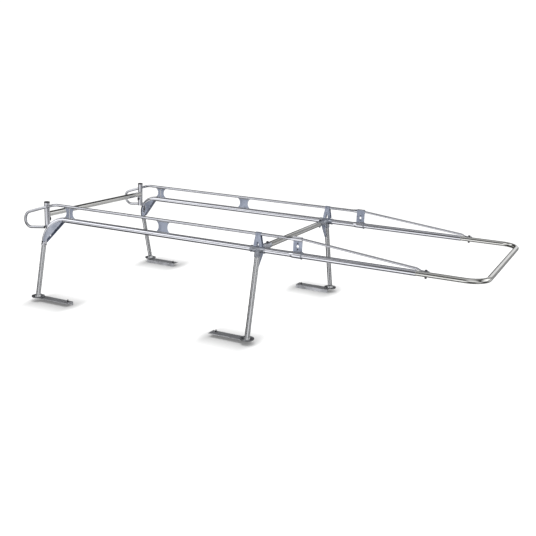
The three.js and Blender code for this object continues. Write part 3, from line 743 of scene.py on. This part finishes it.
def coped(start, end, outer, inner, bar_way, bar_r, across, far=None, around=AROUND, lip=0.7):
    """A walled tube from a bar through `start` to a plain end, or to a second bar `far` = (point, way,
    radius). Its end rings are moved along the tube until they lie on the bar's surface."""
    start, end = np.array(start, float), np.array(end, float)
    way = unit(end - start)
    n = unit(across - (across @ way) * way)
    ring = circling(around, n, np.cross(way, n))[0]
    length = np.linalg.norm(end - start)
    sides = []
    for r in (outer, inner):
        foot = start + r * ring
        near = meet(foot, way, 1, start, bar_way, bar_r)
        if far is None:
            last = np.full(around, length)
        else:
            last = meet(foot, way, -1, *far)
        share = np.linspace(0, 1, 8)[:, None]
        run = near + (last - near) * share
        sides.append(foot + run[..., None] * way)
    out, back = sides
    rings = [out]
    if far is None:
        out[-1] -= way * lip
        back[-1] -= way * lip
        rings += [(end + (outer - lip) * ring)[None], (end + (inner + lip) * ring)[None]]
    rings.append(back[::-1])
    return skin(np.concatenate(rings), looped=True, girth=2 * math.pi * outer)


tee_low, tee_high = box_mm("tee_R")
TEE_R = 29.5
rim_steps = np.array([0, 3, 9, 12])
sleeve_line = along_x([*(tee_low[0] + rim_steps), *(tee_high[0] - rim_steps[::-1])])
sleeve_r = np.array([TEE_R - 0.6, TEE_R, TEE_R, TEE_R - 2, TEE_R - 2, TEE_R, TEE_R, TEE_R - 0.6])
sleeve = walled(sleeve_line, sleeve_r, RAIL_R + GAP, Z)
centre = P(FRONT_X, -RAIL_Y, RAIL_Z)
leg_arm = coped(centre, on_leg(FRONT_X, FRONT_LEAN, 66), 27, LEG_R + GAP, X, TEE_R - 2.4, X)
bar_arm = coped(centre, P(FRONT_X, tee_high[1], RAIL_Z), 28.5, RAIL_R + GAP, X, TEE_R - 2.4, X)
pair("tee", joined(sleeve, leg_arm, bar_arm), CASTING)
socket_low, socket_high = box_mm("crossbar_socket_R")
socket_line = along_y([socket_low[1], socket_low[1] + 8, socket_low[1] + 10,
                       socket_high[1] - 9, socket_high[1] - 7, socket_high[1]])
socket_r = np.array([28.0, 28.0, 27.2, 27.2, 28.0, 28.0])
pair("crossbar_socket", walled(socket_line, socket_r, RAIL_R + GAP, Z, lip=0.9), CASTING)
bar_ends = box_mm("mid_crossbar")
cross_line = along_y(np.linspace(bar_ends[0][1], bar_ends[1][1], 30))
piece("mid_crossbar", walled(cross_line, RAIL_R, RAIL_R - WALL, Z), POLISHED_WARM)


def through_bolt(at, above, under, flats=17.0):
    """Head and washer above a tube, nut and thread end below it."""
    up = Z
    top, low = at + up * above, at - up * under
    return joined(
        washer(top, up, 11, 0.2, 2.4), hexed(top, up, flats, 2.4, 9),
        rod([low - up * 12, low + up * 2, top + up * 4], 5, X, around=24, lip=1.2),
        hexed(low, -up, flats, 0.3, 8.8),
    )


pair("crossbar_bolt", through_bolt(P(FRONT_X, SOCKET_BOLT_Y, RAIL_Z), 28, 28), ZINC)

# the gusset's inner edge follows the leg, its upper edge the crossbar
gusset_shape = soft_corners([[-706, -29.2], [-634, -29.2], [-634, -38], [-738, -166], [-757, -166], [-757, -158]],
                            [1, 3, 16, 4, 2, 2])
pair("leg_gusset", plate(gusset_shape, 6, Y, Z, P(FRONT_X, 0, RAIL_Z)), PLATE, bevel=0.8)

# %% [markdown]
# ## Upper rails
# The thin upper rail is pressed flat on edge at its front end, where the end
# plate holds it. Behind the post it drops and comes back as a loop, which is
# where straps are tied. The press is a squash of the rings, eased in along
# the tube so that no step shows.

# %% Upper rails
PASS_Y = RAIL_Y + RAIL_R + UPPER_R + GAP
upper_corners = [
    P(UPPER_FRONT, -UPPER_Y, UPPER_Z), P(-1790, -UPPER_Y, UPPER_Z), P(REAR_X + 20, -PASS_Y - 0.4, 860),
    P(-2117.5, -PASS_Y - 2, 780), P(-2112.5, -PASS_Y - 14, 648), P(-1885, -PASS_Y - 13, 674),
]
upper_line = rounded(upper_corners, [160, 90, 70, 70], 22)
press = np.stack([P(UPPER_FRONT - d, -UPPER_Y, UPPER_Z) for d in np.linspace(0, 150, 24)])
upper_line = split_runs(np.concatenate([press, upper_line[1:]]))
pressed = ease((upper_line[:, 0] - (UPPER_FRONT - 140)) / 60)
upper = walled(upper_line, UPPER_R, UPPER_R - 2, Y, around=40,
               squash=(1 + (0.44 - 1) * pressed, 1 + (1.28 - 1) * pressed))
# the upper rail wears the darker copy of the drawn tube, painted shade
pair("upper_rail", upper, SHADED_THIN_TUBE)

# %% [markdown]
# ## Gussets between the rails
# Hourglass plates hold the two rails apart. Their sides curve in, which
# saves weight and avoids a sharp corner at the weld. The rear one has a
# round stiffener down its middle.

# %% Gussets


def hourglass(low, high, waist, steps=24):
    """Half width at height t: waist/2 + (half - waist/2) * |2t - 1| to the power 2.4."""
    half, mid = (high[0] - low[0]) / 2, (high[0] + low[0]) / 2
    t = np.linspace(0, 1, steps + 1)
    w = waist / 2 + (half - waist / 2) * np.abs(2 * t - 1) ** 2.4
    z = low[2] + (high[2] - low[2]) * t
    return np.concatenate([np.stack([mid + w, z], 1), np.stack([mid - w, z], 1)[::-1]])


web_y = -(RAIL_Y + UPPER_Y) / 2
for node, waist in (("rear_gusset", 68), ("mid_gusset", 88)):
    low, high = box_mm(node + "_R")
    shape = plate(hourglass(low, high, waist), 6, X, Z, P(0, web_y, 0))
    pair(node, shape, PLATE, bevel=0.8)
low, high = box_mm("rear_gusset_R")
mid = (low[0] + high[0]) / 2
rib_line = [P(mid, web_y, low[2] + 0.5), P(mid, web_y, high[2] - 0.5)]
pair("gusset_rib", rod(rib_line, 6.5, X, around=32), POLISHED, new=True)

# %% [markdown]
# ## Saddle over the front leg
# A strap is folded over the upper rail and its two legs spread down on the
# tee, with an upside-down V cut out between them. It is made as a flat sheet
# of rows and columns: the rows run up one side, round the rail and down the
# other, and the middle columns stay open where the V is. Solidify then gives
# it its thickness.

# %% Saddle
SADDLE_X, STRAP_R = 290.0, 15.0
foot_z = RAIL_Z + TEE_R - 2
heights = np.concatenate([np.linspace(foot_z, 819, 10), [820.0], np.linspace(832, UPPER_Z, 6)])
fold = np.radians(np.linspace(0, 180, 17))[1:-1]
side_y = np.full(len(heights), -UPPER_Y - STRAP_R)
strap_y = np.concatenate([side_y, -UPPER_Y - STRAP_R * np.cos(fold), side_y + 2 * STRAP_R])
strap_z = np.concatenate([heights, UPPER_Z + STRAP_R * np.sin(fold), heights[::-1]])
reach_x = 38 - 15 * ease((strap_z - foot_z) / (UPPER_Z - foot_z))
open_x = np.where(strap_z < 819.5, 13 - 7 * (strap_z - foot_z) / (819 - foot_z), 5.0)
columns = np.stack([-reach_x, -(reach_x + open_x) / 2, -open_x, open_x, (reach_x + open_x) / 2, reach_x], 1)
sheet = np.stack([SADDLE_X + columns, np.repeat(strap_y[:, None], 6, 1), np.repeat(strap_z[:, None], 6, 1)], -1)
rows, cols = sheet.shape[:2]
i, j = (a.ravel() for a in np.meshgrid(np.arange(rows - 1), np.arange(cols - 1), indexing="ij"))
keep = ~((j == 2) & (np.minimum(strap_z[i], strap_z[i + 1]) < 818))
i, j = i[keep], j[keep]
strap_faces = np.stack([i * cols + j, i * cols + j + 1, (i + 1) * cols + j + 1, (i + 1) * cols + j], 1)
strap_uv = sheet.reshape(-1, 3)[strap_faces][..., [0, 2]] * MM
used, renumbered = np.unique(strap_faces, return_inverse=True)
strap = {"points": sheet.reshape(-1, 3)[used], "groups": [(renumbered.reshape(-1, 4), strap_uv)]}
for obj in pair("saddle", strap, PLATE):
    thick = obj.modifiers.new("thickness", "SOLIDIFY")
    thick.thickness, thick.offset = 3.6 * MM, 0.0
    soften(obj, 0.7, 50)
print("saddle sheet:", rows, "x", cols)

# %% [markdown]
# ## End plates
# The plate at the front end of the upper rail stands on the swaged tube. It
# has one large hole, small bolts above and below it, and a lip folded out
# over the pressed end of the rail.

# %% End plates
plate_y = (PLATE_HIGH[1] + PLATE_HIGH[1] - 5) / 2
x0, x1 = PLATE_LOW[0], PLATE_HIGH[0]
end_outline = soft_corners([[x0, 781], [x1, 785.5], [x1, 901.5], [x0, 901.5]], [4, 4, 2, 2])
end_flat = plate(end_outline, 5, X, Z, P(0, plate_y, 0), [circle(632, 826, 10.5, 40)])
lip_turn = np.radians(np.linspace(0, 90, 9))
lip_line = np.concatenate([
    np.stack([np.full(9, 632.0), plate_y - 4.5 + 4.5 * np.cos(lip_turn), 899.3 + 4.5 * np.sin(lip_turn)], 1),
    [P(632, PLATE_LOW[1] + 0.4, 903.8)],
])
half_w = (x1 - x0) / 2 - 0.2
section = np.array([(-half_w, -2.2), (half_w, -2.2), (half_w, 2.2), (-half_w, 2.2)])
way = unit(np.gradient(lip_line, axis=0))
across_lip = np.cross(way, X)
lip_rings = lip_line[:, None] + section[None, :, :1] * X + section[None, :, 1:] * across_lip[:, None]
end_lip = skin(lip_rings, girth=160)
pair("end_plate", end_flat, PLATE, bevel=0.8)
pair("end_plate_lip", end_lip, POLISHED, bevel=0.6, new=True)
small = [P(632, plate_y - 2.5, z) for z in (801.0, 850.0)]
face_out = P(0, -1, 0)
screws = joined(*(washer(p, face_out, 6.2, 0.0, 1.2) for p in small),
                *(hexed(p, face_out, 8, 1.0, 5.0) for p in small),
                *(hexed(p + P(0, 5, 0), -face_out, 8, 0.2, 4.4) for p in small))
pair("end_plate_screws", screws, ZINC, new=True)

# %% [markdown]
# ## Coupling, front tubes and hoop
# The front tube slides into the swaged rail, and a ring closes the joint.
# The hoop is one thinner tube, bent twice, whose ends slide into the front
# tubes. A brace comes down from the upper rail, is pressed flat and bolted
# through both.

# %% Coupling ring, front tube, hoop
ring = turned([(RAIL_R + GAP, 0.3), (30.0, 0.3), (30.5, 0.8), (30.5, 8.2), (29.5, 9.2), (RAIL_R + GAP, 9.2)],
              P(RING_X, -RAIL_Y, RAIL_Z), X, looped=True)
pair("coupling_ring", ring, CASTING)
front_line = along_x(np.linspace(box_mm("front_tube_R")[0][0], SLEEVE_END, 18))
pair("front_tube", walled(front_line, RAIL_R, RAIL_R - WALL, Z, lip=1.0), POLISHED)
hoop_start = box_mm("front_hoop")[0][0]
hoop_corners = [P(hoop_start, -RAIL_Y, RAIL_Z), P(HOOP_FRONT, -RAIL_Y, RAIL_Z), P(HOOP_FRONT, RAIL_Y, RAIL_Z),
                P(hoop_start, RAIL_Y, RAIL_Z)]
hoop_line = split_runs(rounded(hoop_corners, 150, 28))
piece("front_hoop", walled(hoop_line, SLIP_R, SLIP_R - 3, Z), POLISHED_WARM)

# %% Braces and their bolts
FLAT = 6.4
flat_z = RAIL_Z + SLIP_R + GAP + FLAT / 2
brace_corners = [P(UPPER_FRONT + 1.5, -RAIL_Y, 888), P(1602, -RAIL_Y, 791), P(1640, -RAIL_Y, flat_z),
                 P(BOLT_X + 27, -RAIL_Y, flat_z)]
brace_line = split_runs(rounded(brace_corners, [70, 70], 26), 45)
tail = brace_line[-1] - np.array([[30.0], [24.0], [17.0], [11.0], [6.0], [2.5], [0.8], [0.0]]) * X
brace_line = np.concatenate([brace_line[brace_line[:, 0] < tail[0, 0] - 2], tail])
flatten = ease((brace_line[:, 0] - 1592) / 48)
from_end = np.clip((brace_line[-1, 0] - brace_line[:, 0]) / 15.0, 0, 1)
nose = np.sqrt(np.clip(1 - (1 - from_end) ** 2, 0.02, 1))
brace = rod(brace_line, 10, Y, around=36, lip=0.3,
            squash=((1 + 0.5 * flatten) * nose, 1 + (FLAT / 20 - 1) * flatten))
pair("brace", brace, POLISHED)
pair("brace_bolt", through_bolt(P(BOLT_X, -RAIL_Y, RAIL_Z), flat_z + FLAT / 2 - RAIL_Z, SLIP_R), ZINC)

# %% [markdown]
# ## Feet
# Each leg ends in a round cup on the bed wall, held by two small bolts, with
# the leg in a boss in its middle. Beside it lies the bed angle: a flat on
# top of the wall and a flange down its inside.

# %% Foot cups


for node, top_x, lean, leg_r in (("rear", REAR_LEG_X, REAR_LEAN, SLIP_R), ("front", FRONT_X, FRONT_LEAN, LEG_R)):
    end = on_leg(top_x, lean, LEG_LENGTH)
    at = P(end[0], end[1] + 3, ANGLE_TOP)
    inside = leg_r + 2.2
    dish = [(inside, 0.4), (47, 0.4), (52, 1.4), (56.5, 4.0), (59, 8), (59, 14.6), (58.2, 15.8), (55.4, 15.8),
            (54.4, 14.6), (54.2, 10), (52, 7.6), (47, 6.6), (34, 6.4), (inside, 6.6)]
    pair(f"{node}_foot_cup", turned(dish, at, Z, 64, looped=True), CUP)
    boss = [(inside, 6.8), (30.5, 6.8), (30.0, 8.5), (28.6, 11), (28.2, 24), (27.4, 26), (inside + 1, 26.6),
            (inside, 26)]
    pair(f"{node}_foot_boss", turned(boss, at, Z, 56, looped=True), SATIN, new=True)
    hold = [at + P(42 * s, 0, 6.4) for s in (-1, 1)]
    bolts = joined(*(washer(p, Z, 7.5, -0.3, 1.2) for p in hold), *(hexed(p, Z, 10, 1.1, 7.2) for p in hold))
    pair(f"{node}_foot_bolts", bolts, ZINC, new=True)

# %% [markdown]
# The bed angle is rolled stock: a section with a rounded fold, cut to length.
# The section is carried along X, and the holes are left to the bolt that
# stands in one of them.

# %% Bed angles


def angle_section(fold_y, edge_y, top, thick, r_out=8.0, steps=8):
    """The L of the bed angle, walked round once: down the flange, back up, round the fold."""
    a = np.radians(np.linspace(0, 90, steps + 1))
    r_in = r_out - thick
    outer = np.stack([fold_y - r_out + r_out * np.cos(a), top - r_out + r_out * np.sin(a)], 1)
    inner = np.stack([fold_y - r_out + r_in * np.cos(a), top - r_out + r_in * np.sin(a)], 1)[::-1]
    edge = [[edge_y, top], [edge_y, top - thick]]
    return np.concatenate([[[fold_y, 0.0]], outer, edge, inner, [[fold_y - thick, 0.0]]])


for node in ("rear_bed_angle", "front_bed_angle"):
    low, high = box_mm(node + "_R")
    shape = plate(angle_section(high[1], low[1], high[2], 5.0), high[0] - low[0], Y, Z,
                  P((low[0] + high[0]) / 2, 0, 0))
    pair(node, shape, ANGLE, bevel=0.7)
    bolt = middle(node.replace("bed_angle", "angle_bolt") + "_R")
    at = P(bolt[0], bolt[1], ANGLE_TOP)
    stud = joined(washer(at, Z, 9.8, 0.1, 1.6), hexed(at, Z, 16.5, 1.5, 8),
                  rod([at - P(0, 0, 19.5), at + P(0, 0, 21.5)], 5, X, around=24, lip=1.2),
                  hexed(at - P(0, 0, 5.3), P(0, 0, -1), 16.5, 0.1, 6.6))
    pair(node.replace("bed_angle", "angle_bolt"), stud, ZINC)

# %% [markdown]
# ## The lift-out crossbar
# The rear crossbar joins two posts. The posts slip over the spigots and are
# held by clamp screws, so the whole unit can be lifted out to load something
# long. The crossbar's ends are shaped to the posts' round sides. A post's
# foot is notched where it would meet the bend, found by asking how far each
# of its lines can come down before it is a tube's radius from the bend.

# %% Posts, caps, crossbar
NOTCH_TOP, NOTCH_STEP = 745, 1.5
dense_bend = split_runs(rail_line[rail_line[:, 0] < -1600], 4.0)
share = np.linspace(0, 1, 9)[:, None]
sides = []
for r in (RAIL_R, RAIL_R - WALL):
    lines_xy = circle(REAR_X, -RAIL_Y, r, AROUND)
    z = np.arange(POST_FOOT, NOTCH_TOP, NOTCH_STEP)
    grid = np.concatenate([np.repeat(lines_xy[:, None], len(z), 1), np.repeat(z[None, :, None], AROUND, 0)], -1)
    gap = np.sqrt(((grid[:, :, None] - dense_bend) ** 2).sum(-1)).min(-1)
    blocked = gap < RAIL_R + 0.8
    foot = np.where(blocked.any(1), z[len(z) - 1 - np.argmax(blocked[:, ::-1], 1)] + NOTCH_STEP, POST_FOOT)
    rise = foot + (POST_TOP - foot) * share
    sides.append(np.concatenate([np.repeat(lines_xy[None], 9, 0), rise[..., None]], -1))
post = skin(np.concatenate([sides[0], sides[1][::-1]]), looped=True, girth=150)
pair("rear_post", post, POLISHED, "rear_unit")
top_at = P(REAR_X, -RAIL_Y, POST_TOP)
cap = turned([(19.8, -12), (20.9, -11), (20.9, 0.3), (25.8, 0.3), (26.5, 1.0), (26.5, 6.0), (25.9, 8.2), (24.4, 9.9),
              (22.0, 10.9), (12.0, 11.6), (1.0, 11.8)], top_at, Z)
pair("post_cap", cap, BLACK, "rear_unit")
rear_bar = coped(P(REAR_X, -RAIL_Y, CROSSBAR_Z), P(REAR_X, RAIL_Y, CROSSBAR_Z), RAIL_R - 0.4, RAIL_R - WALL, Z,
                 RAIL_R + GAP, X, far=(P(REAR_X, RAIL_Y, CROSSBAR_Z), Z, RAIL_R + GAP))
piece("rear_crossbar", rear_bar, POLISHED_WARM, "rear_unit")
print("post foot is notched by up to", round(float(sides[0][0, :, 2].max() - POST_FOOT)), "mm")

# %% Clamp screws
inward = Y
boss_at = P(REAR_X, -RAIL_Y + RAIL_R, SCREW_Z)
nut = turned([(8, -2.5), (11, -2.5), (11, 2.4), (10.2, 3.0), (8, 3.0)], boss_at, inward, 36)
knob_at = P(REAR_X, -RAIL_Y + RAIL_R + 0.6, SCREW_Z)
screw = joined(
    rod([P(REAR_X, -RAIL_Y + SLIP_R + GAP, SCREW_Z), knob_at + inward * 22], 4.9, X, around=24),
    turned([(8.2, 3.4), (9, 4.2), (9, 7), (7, 10), (6.4, 19), (7.4, 20.5), (6.0, 22.5)], knob_at, inward, 32),
    rod([knob_at + P(0, 19, -18.6), knob_at + P(0, 19, 18.6)], 4.3, X, around=20, lip=1.4),
)
pair("lock_handle", screw, BLACK, "clamp_screw")

# %% [markdown]
# ## Weld beads
# A weld is a row of small overlapping ripples, laid in the corner between
# two pieces. Here it is a thin tube along the joint whose radius and centre
# swell with each ripple. It covers the hairline gap that the solids keep.

# %% Weld beads


def bead(line, across, radius=2.6, pitch=3.2, closed=False):
    """A ripple every `pitch`: radius * (1 + 0.16 * |sin|) along the line."""
    line = np.array(line, float)
    step = np.linalg.norm(np.diff(line, axis=0), axis=1)
    run = np.concatenate([[0], np.cumsum(step)])
    n = max(4, int(run[-1] / pitch)) * 4
    at = np.linspace(0, run[-1], n + 1)
    fine = np.stack([np.interp(at, run, line[:, k]) for k in range(3)], 1)
    size = radius * (1 + 0.16 * np.abs(np.sin(at / pitch * math.pi)))
    if closed:
        fine, size = fine[:-1], size[:-1]
        fine, size = (np.concatenate([v[-1:], v, v[:1]]) for v in (fine, size))
        rings = rings_on(fine, size, across, 10)
        return skin(rings[1:-1], looped=True, girth=16)
    return rod(fine, size, across, lip=0.6, around=10)


def around_joint(centre, way, radius, bar_point, bar_way, bar_r, towards, n=64):
    """The curve where a round tube meets a round bar."""
    way = unit(np.array(way, float))
    n1, n2 = square_to(way)
    a = np.linspace(0, 2 * math.pi, n)
    foot = centre + radius * (np.cos(a)[:, None] * n1 + np.sin(a)[:, None] * n2)
    return foot + meet(foot, way, towards, bar_point, bar_way, bar_r)[:, None] * way


cross_end = around_joint(P(REAR_X, -RAIL_Y, CROSSBAR_Z), inward, RAIL_R - 0.2, P(REAR_X, -RAIL_Y, CROSSBAR_Z), Z,
                         RAIL_R + 1.0, 1)
pair("crossbar_weld", bead(cross_end, Y, 2.8, closed=True), WELD, "rear_unit", new=True)
pair("clamp_boss", nut, CASTING, "rear_unit", new=True)
gusset_welds = []
for node in ("rear_gusset_R", "mid_gusset_R"):
    low, high = box_mm(node)
    for side in (-1, 1):
        for z, dz in ((low[2], 1.2), (high[2], -1.2)):
            ends = [P(low[0] + 3, web_y + side * 4.2, z + dz), P(high[0] - 3, web_y + side * 4.2, z + dz)]
            gusset_welds.append(bead(ends, Z, 2.2))
pair("gusset_welds", joined(*gusset_welds), WELD, new=True)
cheek_welds = []
for side, outline in ((-1, inner_outline), (1, outer_outline)):
    curve = outline[4:-3]
    edge = corner + OUT_LEG * side * (cheek_off - 1.0) + curve[:, :1] * X + (curve[:, 1:] + 0.5) * UP_LEG
    cheek_welds.append(bead(edge, OUT_LEG, 2.4))
pair("cheek_welds", joined(*cheek_welds), WELD, new=True)
tee_joint = [
    around_joint(centre, on_leg(FRONT_X, FRONT_LEAN, 1) - centre, 26.6, centre, X, TEE_R - 1.6, 1),
    around_joint(centre, inward, 28.2, centre, X, TEE_R - 1.6, 1),
]
pair("tee_fillets", joined(*(bead(line, P(1, 0.3, 0), 3.0, closed=True) for line in tee_joint)), CASTING, new=True)
plate_welds = []
for y in (plate_y - 3.6, plate_y + 3.6):
    plate_welds.append(bead([P(x0 + 3, y, 781.0), P(x1 - 3, y, 786.5)], Z, 2.2))
pair("end_plate_welds", joined(*plate_welds), WELD, new=True)
loop_end, loop_way = upper_line[-1], unit(upper_line[-1] - upper_line[-2])
loop_weld = around_joint(loop_end, loop_way, UPPER_R - 0.4, loop_end, Z, 0.0, 1) - loop_way * 0.6
pair("loop_end_weld", bead(loop_weld, loop_way, 2.2, closed=True), WELD, new=True)

# %% [markdown]
# ## Floor, light and camera
# The rack stands on a pale floor. Polished tube shows its surroundings more
# than its own colour, so it gets a room to mirror: soft patches of light at
# windows, walls, ceiling and floor, with dark between them. Only mirror rays
# see the room. What the lens and the floor see is plain pale light. Under
# the feet the floor's glow fades out, which stands in for a contact shadow.

# %% Floor
floor_mesh = bpy.data.meshes.new("floor")
half = 60.0
floor_mesh.from_pydata([(-half, -half, 0), (half, -half, 0), (half, half, 0), (-half, half, 0)], [], [(0, 1, 2, 3)])
floor = bpy.data.objects.new("floor", floor_mesh)
bpy.context.scene.collection.objects.link(floor)
pale = bpy.data.materials.new("pale_floor")
t = emptied(pale)
spot = t.add("ShaderNodeSeparateXYZ", {0: t.add("ShaderNodeTexCoord").outputs["Object"]})
HALF_ANGLE, STRETCH_Y, FADE = 0.165, 0.37, 0.165
rear_foot, front_foot = (middle(f"{end}_bed_angle_R") * MM for end in ("rear", "front"))
to_rear, to_front = (
    t.math("ABSOLUTE", t.math("SUBTRACT", spot.outputs[0], foot[0])) for foot in (rear_foot, front_foot))
gap_x = t.math("MAXIMUM", t.math("SUBTRACT", t.math("MINIMUM", to_rear, to_front), HALF_ANGLE), 0.0)
gap_y = t.math("SUBTRACT", t.math("ABSOLUTE", spot.outputs[1]), -rear_foot[1])
gap_y = t.math("MULTIPLY", gap_y, STRETCH_Y)
reach = t.math("SQRT", t.math("ADD", t.math("MULTIPLY", gap_x, gap_x), t.math("MULTIPLY", gap_y, gap_y)))
shade = {"Value": reach, "From Min": 0.0, "From Max": FADE, "To Min": 0.16, "To Max": 0.80}
soft = t.add("ShaderNodeMapRange", shade, interpolation_type="SMOOTHSTEP")
lift = t.add("ShaderNodeEmission", {"Color": (1, 1, 1, 1), "Strength": soft.outputs["Result"]})
matt = t.add("ShaderNodeBsdfDiffuse", {"Color": (0.26, 0.26, 0.26, 1)})
both = t.add("ShaderNodeAddShader", {0: matt.outputs[0], 1: lift.outputs[0]})
t.add("ShaderNodeOutputMaterial", {0: both.outputs[0]})
floor_mesh.materials.append(pale)
floor.visible_glossy = False
floor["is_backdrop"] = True

# %% Surroundings
world = bpy.data.worlds.new("studio")
bpy.context.scene.world = world
sky = emptied(world)
look = sky.add("ShaderNodeTexCoord").outputs["Generated"]


def lamp(total, direction, inner, outer, strength):
    """Adds a soft round light: full inside `inner` degrees of a direction, none outside `outer`. The
    direction is an angle around from +X and an angle above the ground."""
    around, above = (math.radians(v) for v in direction)
    toward = (math.cos(around) * math.cos(above), math.sin(around) * math.cos(above), math.sin(above))
    dot = sky.add("ShaderNodeVectorMath", {0: look, 1: toward}, operation="DOT_PRODUCT").outputs["Value"]
    edge = {"Value": dot, "From Min": math.cos(math.radians(outer)), "From Max": math.cos(math.radians(inner))}
    mask = sky.add("ShaderNodeMapRange", edge, interpolation_type="SMOOTHSTEP").outputs["Result"]
    return sky.math("ADD", total, sky.math("MULTIPLY", mask, strength))


LAMPS = {
    "high left window": ((225, 25), 8, 26, 1.35), "low left window": ((250, -25), 8, 32, 1.10),
    "right front wall": ((300, 10), 10, 40, 0.80), "right wall": ((10, 15), 6, 30, 1.00),
    "gap in the back wall": ((90, 15), 5, 18, 0.75), "ceiling": ((290, 65), 6, 36, 0.42),
    "ceiling at the back": ((105, 80), 16, 44, 0.22), "floor on the right": ((340, -35), 4, 22, 0.80),
    "back wall": ((60, -5), 8, 36, 0.26), "front corner window": ((40, 30), 8, 26, 1.10),
    "left rear window": ((160, 35), 5, 16, 1.00), "rear door": ((185, 20), 8, 24, 0.90),
    "right wall, low": ((50, -15), 8, 26, 0.26), "floor at the back": ((100, -55), 12, 36, 0.65),
}
light = 0.05
for settings in LAMPS.values():
    light = lamp(light, *settings)
tone = sky.add("ShaderNodeCombineColor", {0: light, 1: light, 2: sky.math("MULTIPLY", light, 1.03)})
seen = sky.add("ShaderNodeLightPath")
mirror = sky.add("ShaderNodeBackground", {"Color": tone.outputs[0], "Strength": 1.0})
plain = sky.add("ShaderNodeBackground", {"Color": (1.0, 1.0, 1.0, 1.0), "Strength": 1.06})
blend = sky.add("ShaderNodeMixShader", {0: seen.outputs["Is Glossy Ray"], 1: plain.outputs[0], 2: mirror.outputs[0]})
sky.add("ShaderNodeOutputWorld", {0: blend.outputs[0]})

# %% Key light and camera
key = bpy.data.lights.new("softbox", "AREA")
key.shape, key.size, key.size_y, key.energy = "RECTANGLE", 3.2, 3.2, 260.0
box = bpy.data.objects.new("softbox", key)
box.location = (-0.6, -1.2, 4.6)
box.rotation_euler = (math.radians(14), math.radians(-6), 0)
box.visible_glossy = False
bpy.context.scene.collection.objects.link(box)

camera = bpy.data.cameras.new("camera")
camera.sensor_width, camera.lens = 36.0, 53.26
camera.clip_end = 200.0
view = bpy.data.objects.new("camera", camera)
azimuth, elevation, roll = math.radians(25.27), math.radians(14.42), math.radians(2.45)
flat = math.cos(elevation)
ahead = Vector((-math.sin(azimuth) * flat, math.cos(azimuth) * flat, -math.sin(elevation)))
level = Vector((math.cos(azimuth), math.sin(azimuth), 0))
upright = level.cross(ahead)
right = math.cos(roll) * level + math.sin(roll) * upright
top = math.cos(roll) * upright - math.sin(roll) * level
view.matrix_world = Matrix.Translation((3.0368, -6.3700, 2.2121)) @ Matrix((right, top, -ahead)).transposed().to_4x4()
bpy.context.scene.collection.objects.link(view)
bpy.context.scene.camera = view
bpy.context.scene.view_settings.view_transform = "Standard"

# %% [markdown]
# ## Measure and finish
# The visual model must stay inside the CAD model's box. The visual model's box is printed.

# %% Sizes
low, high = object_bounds()
print("visual box", [round(v, 4) for v in (*low, *high)])
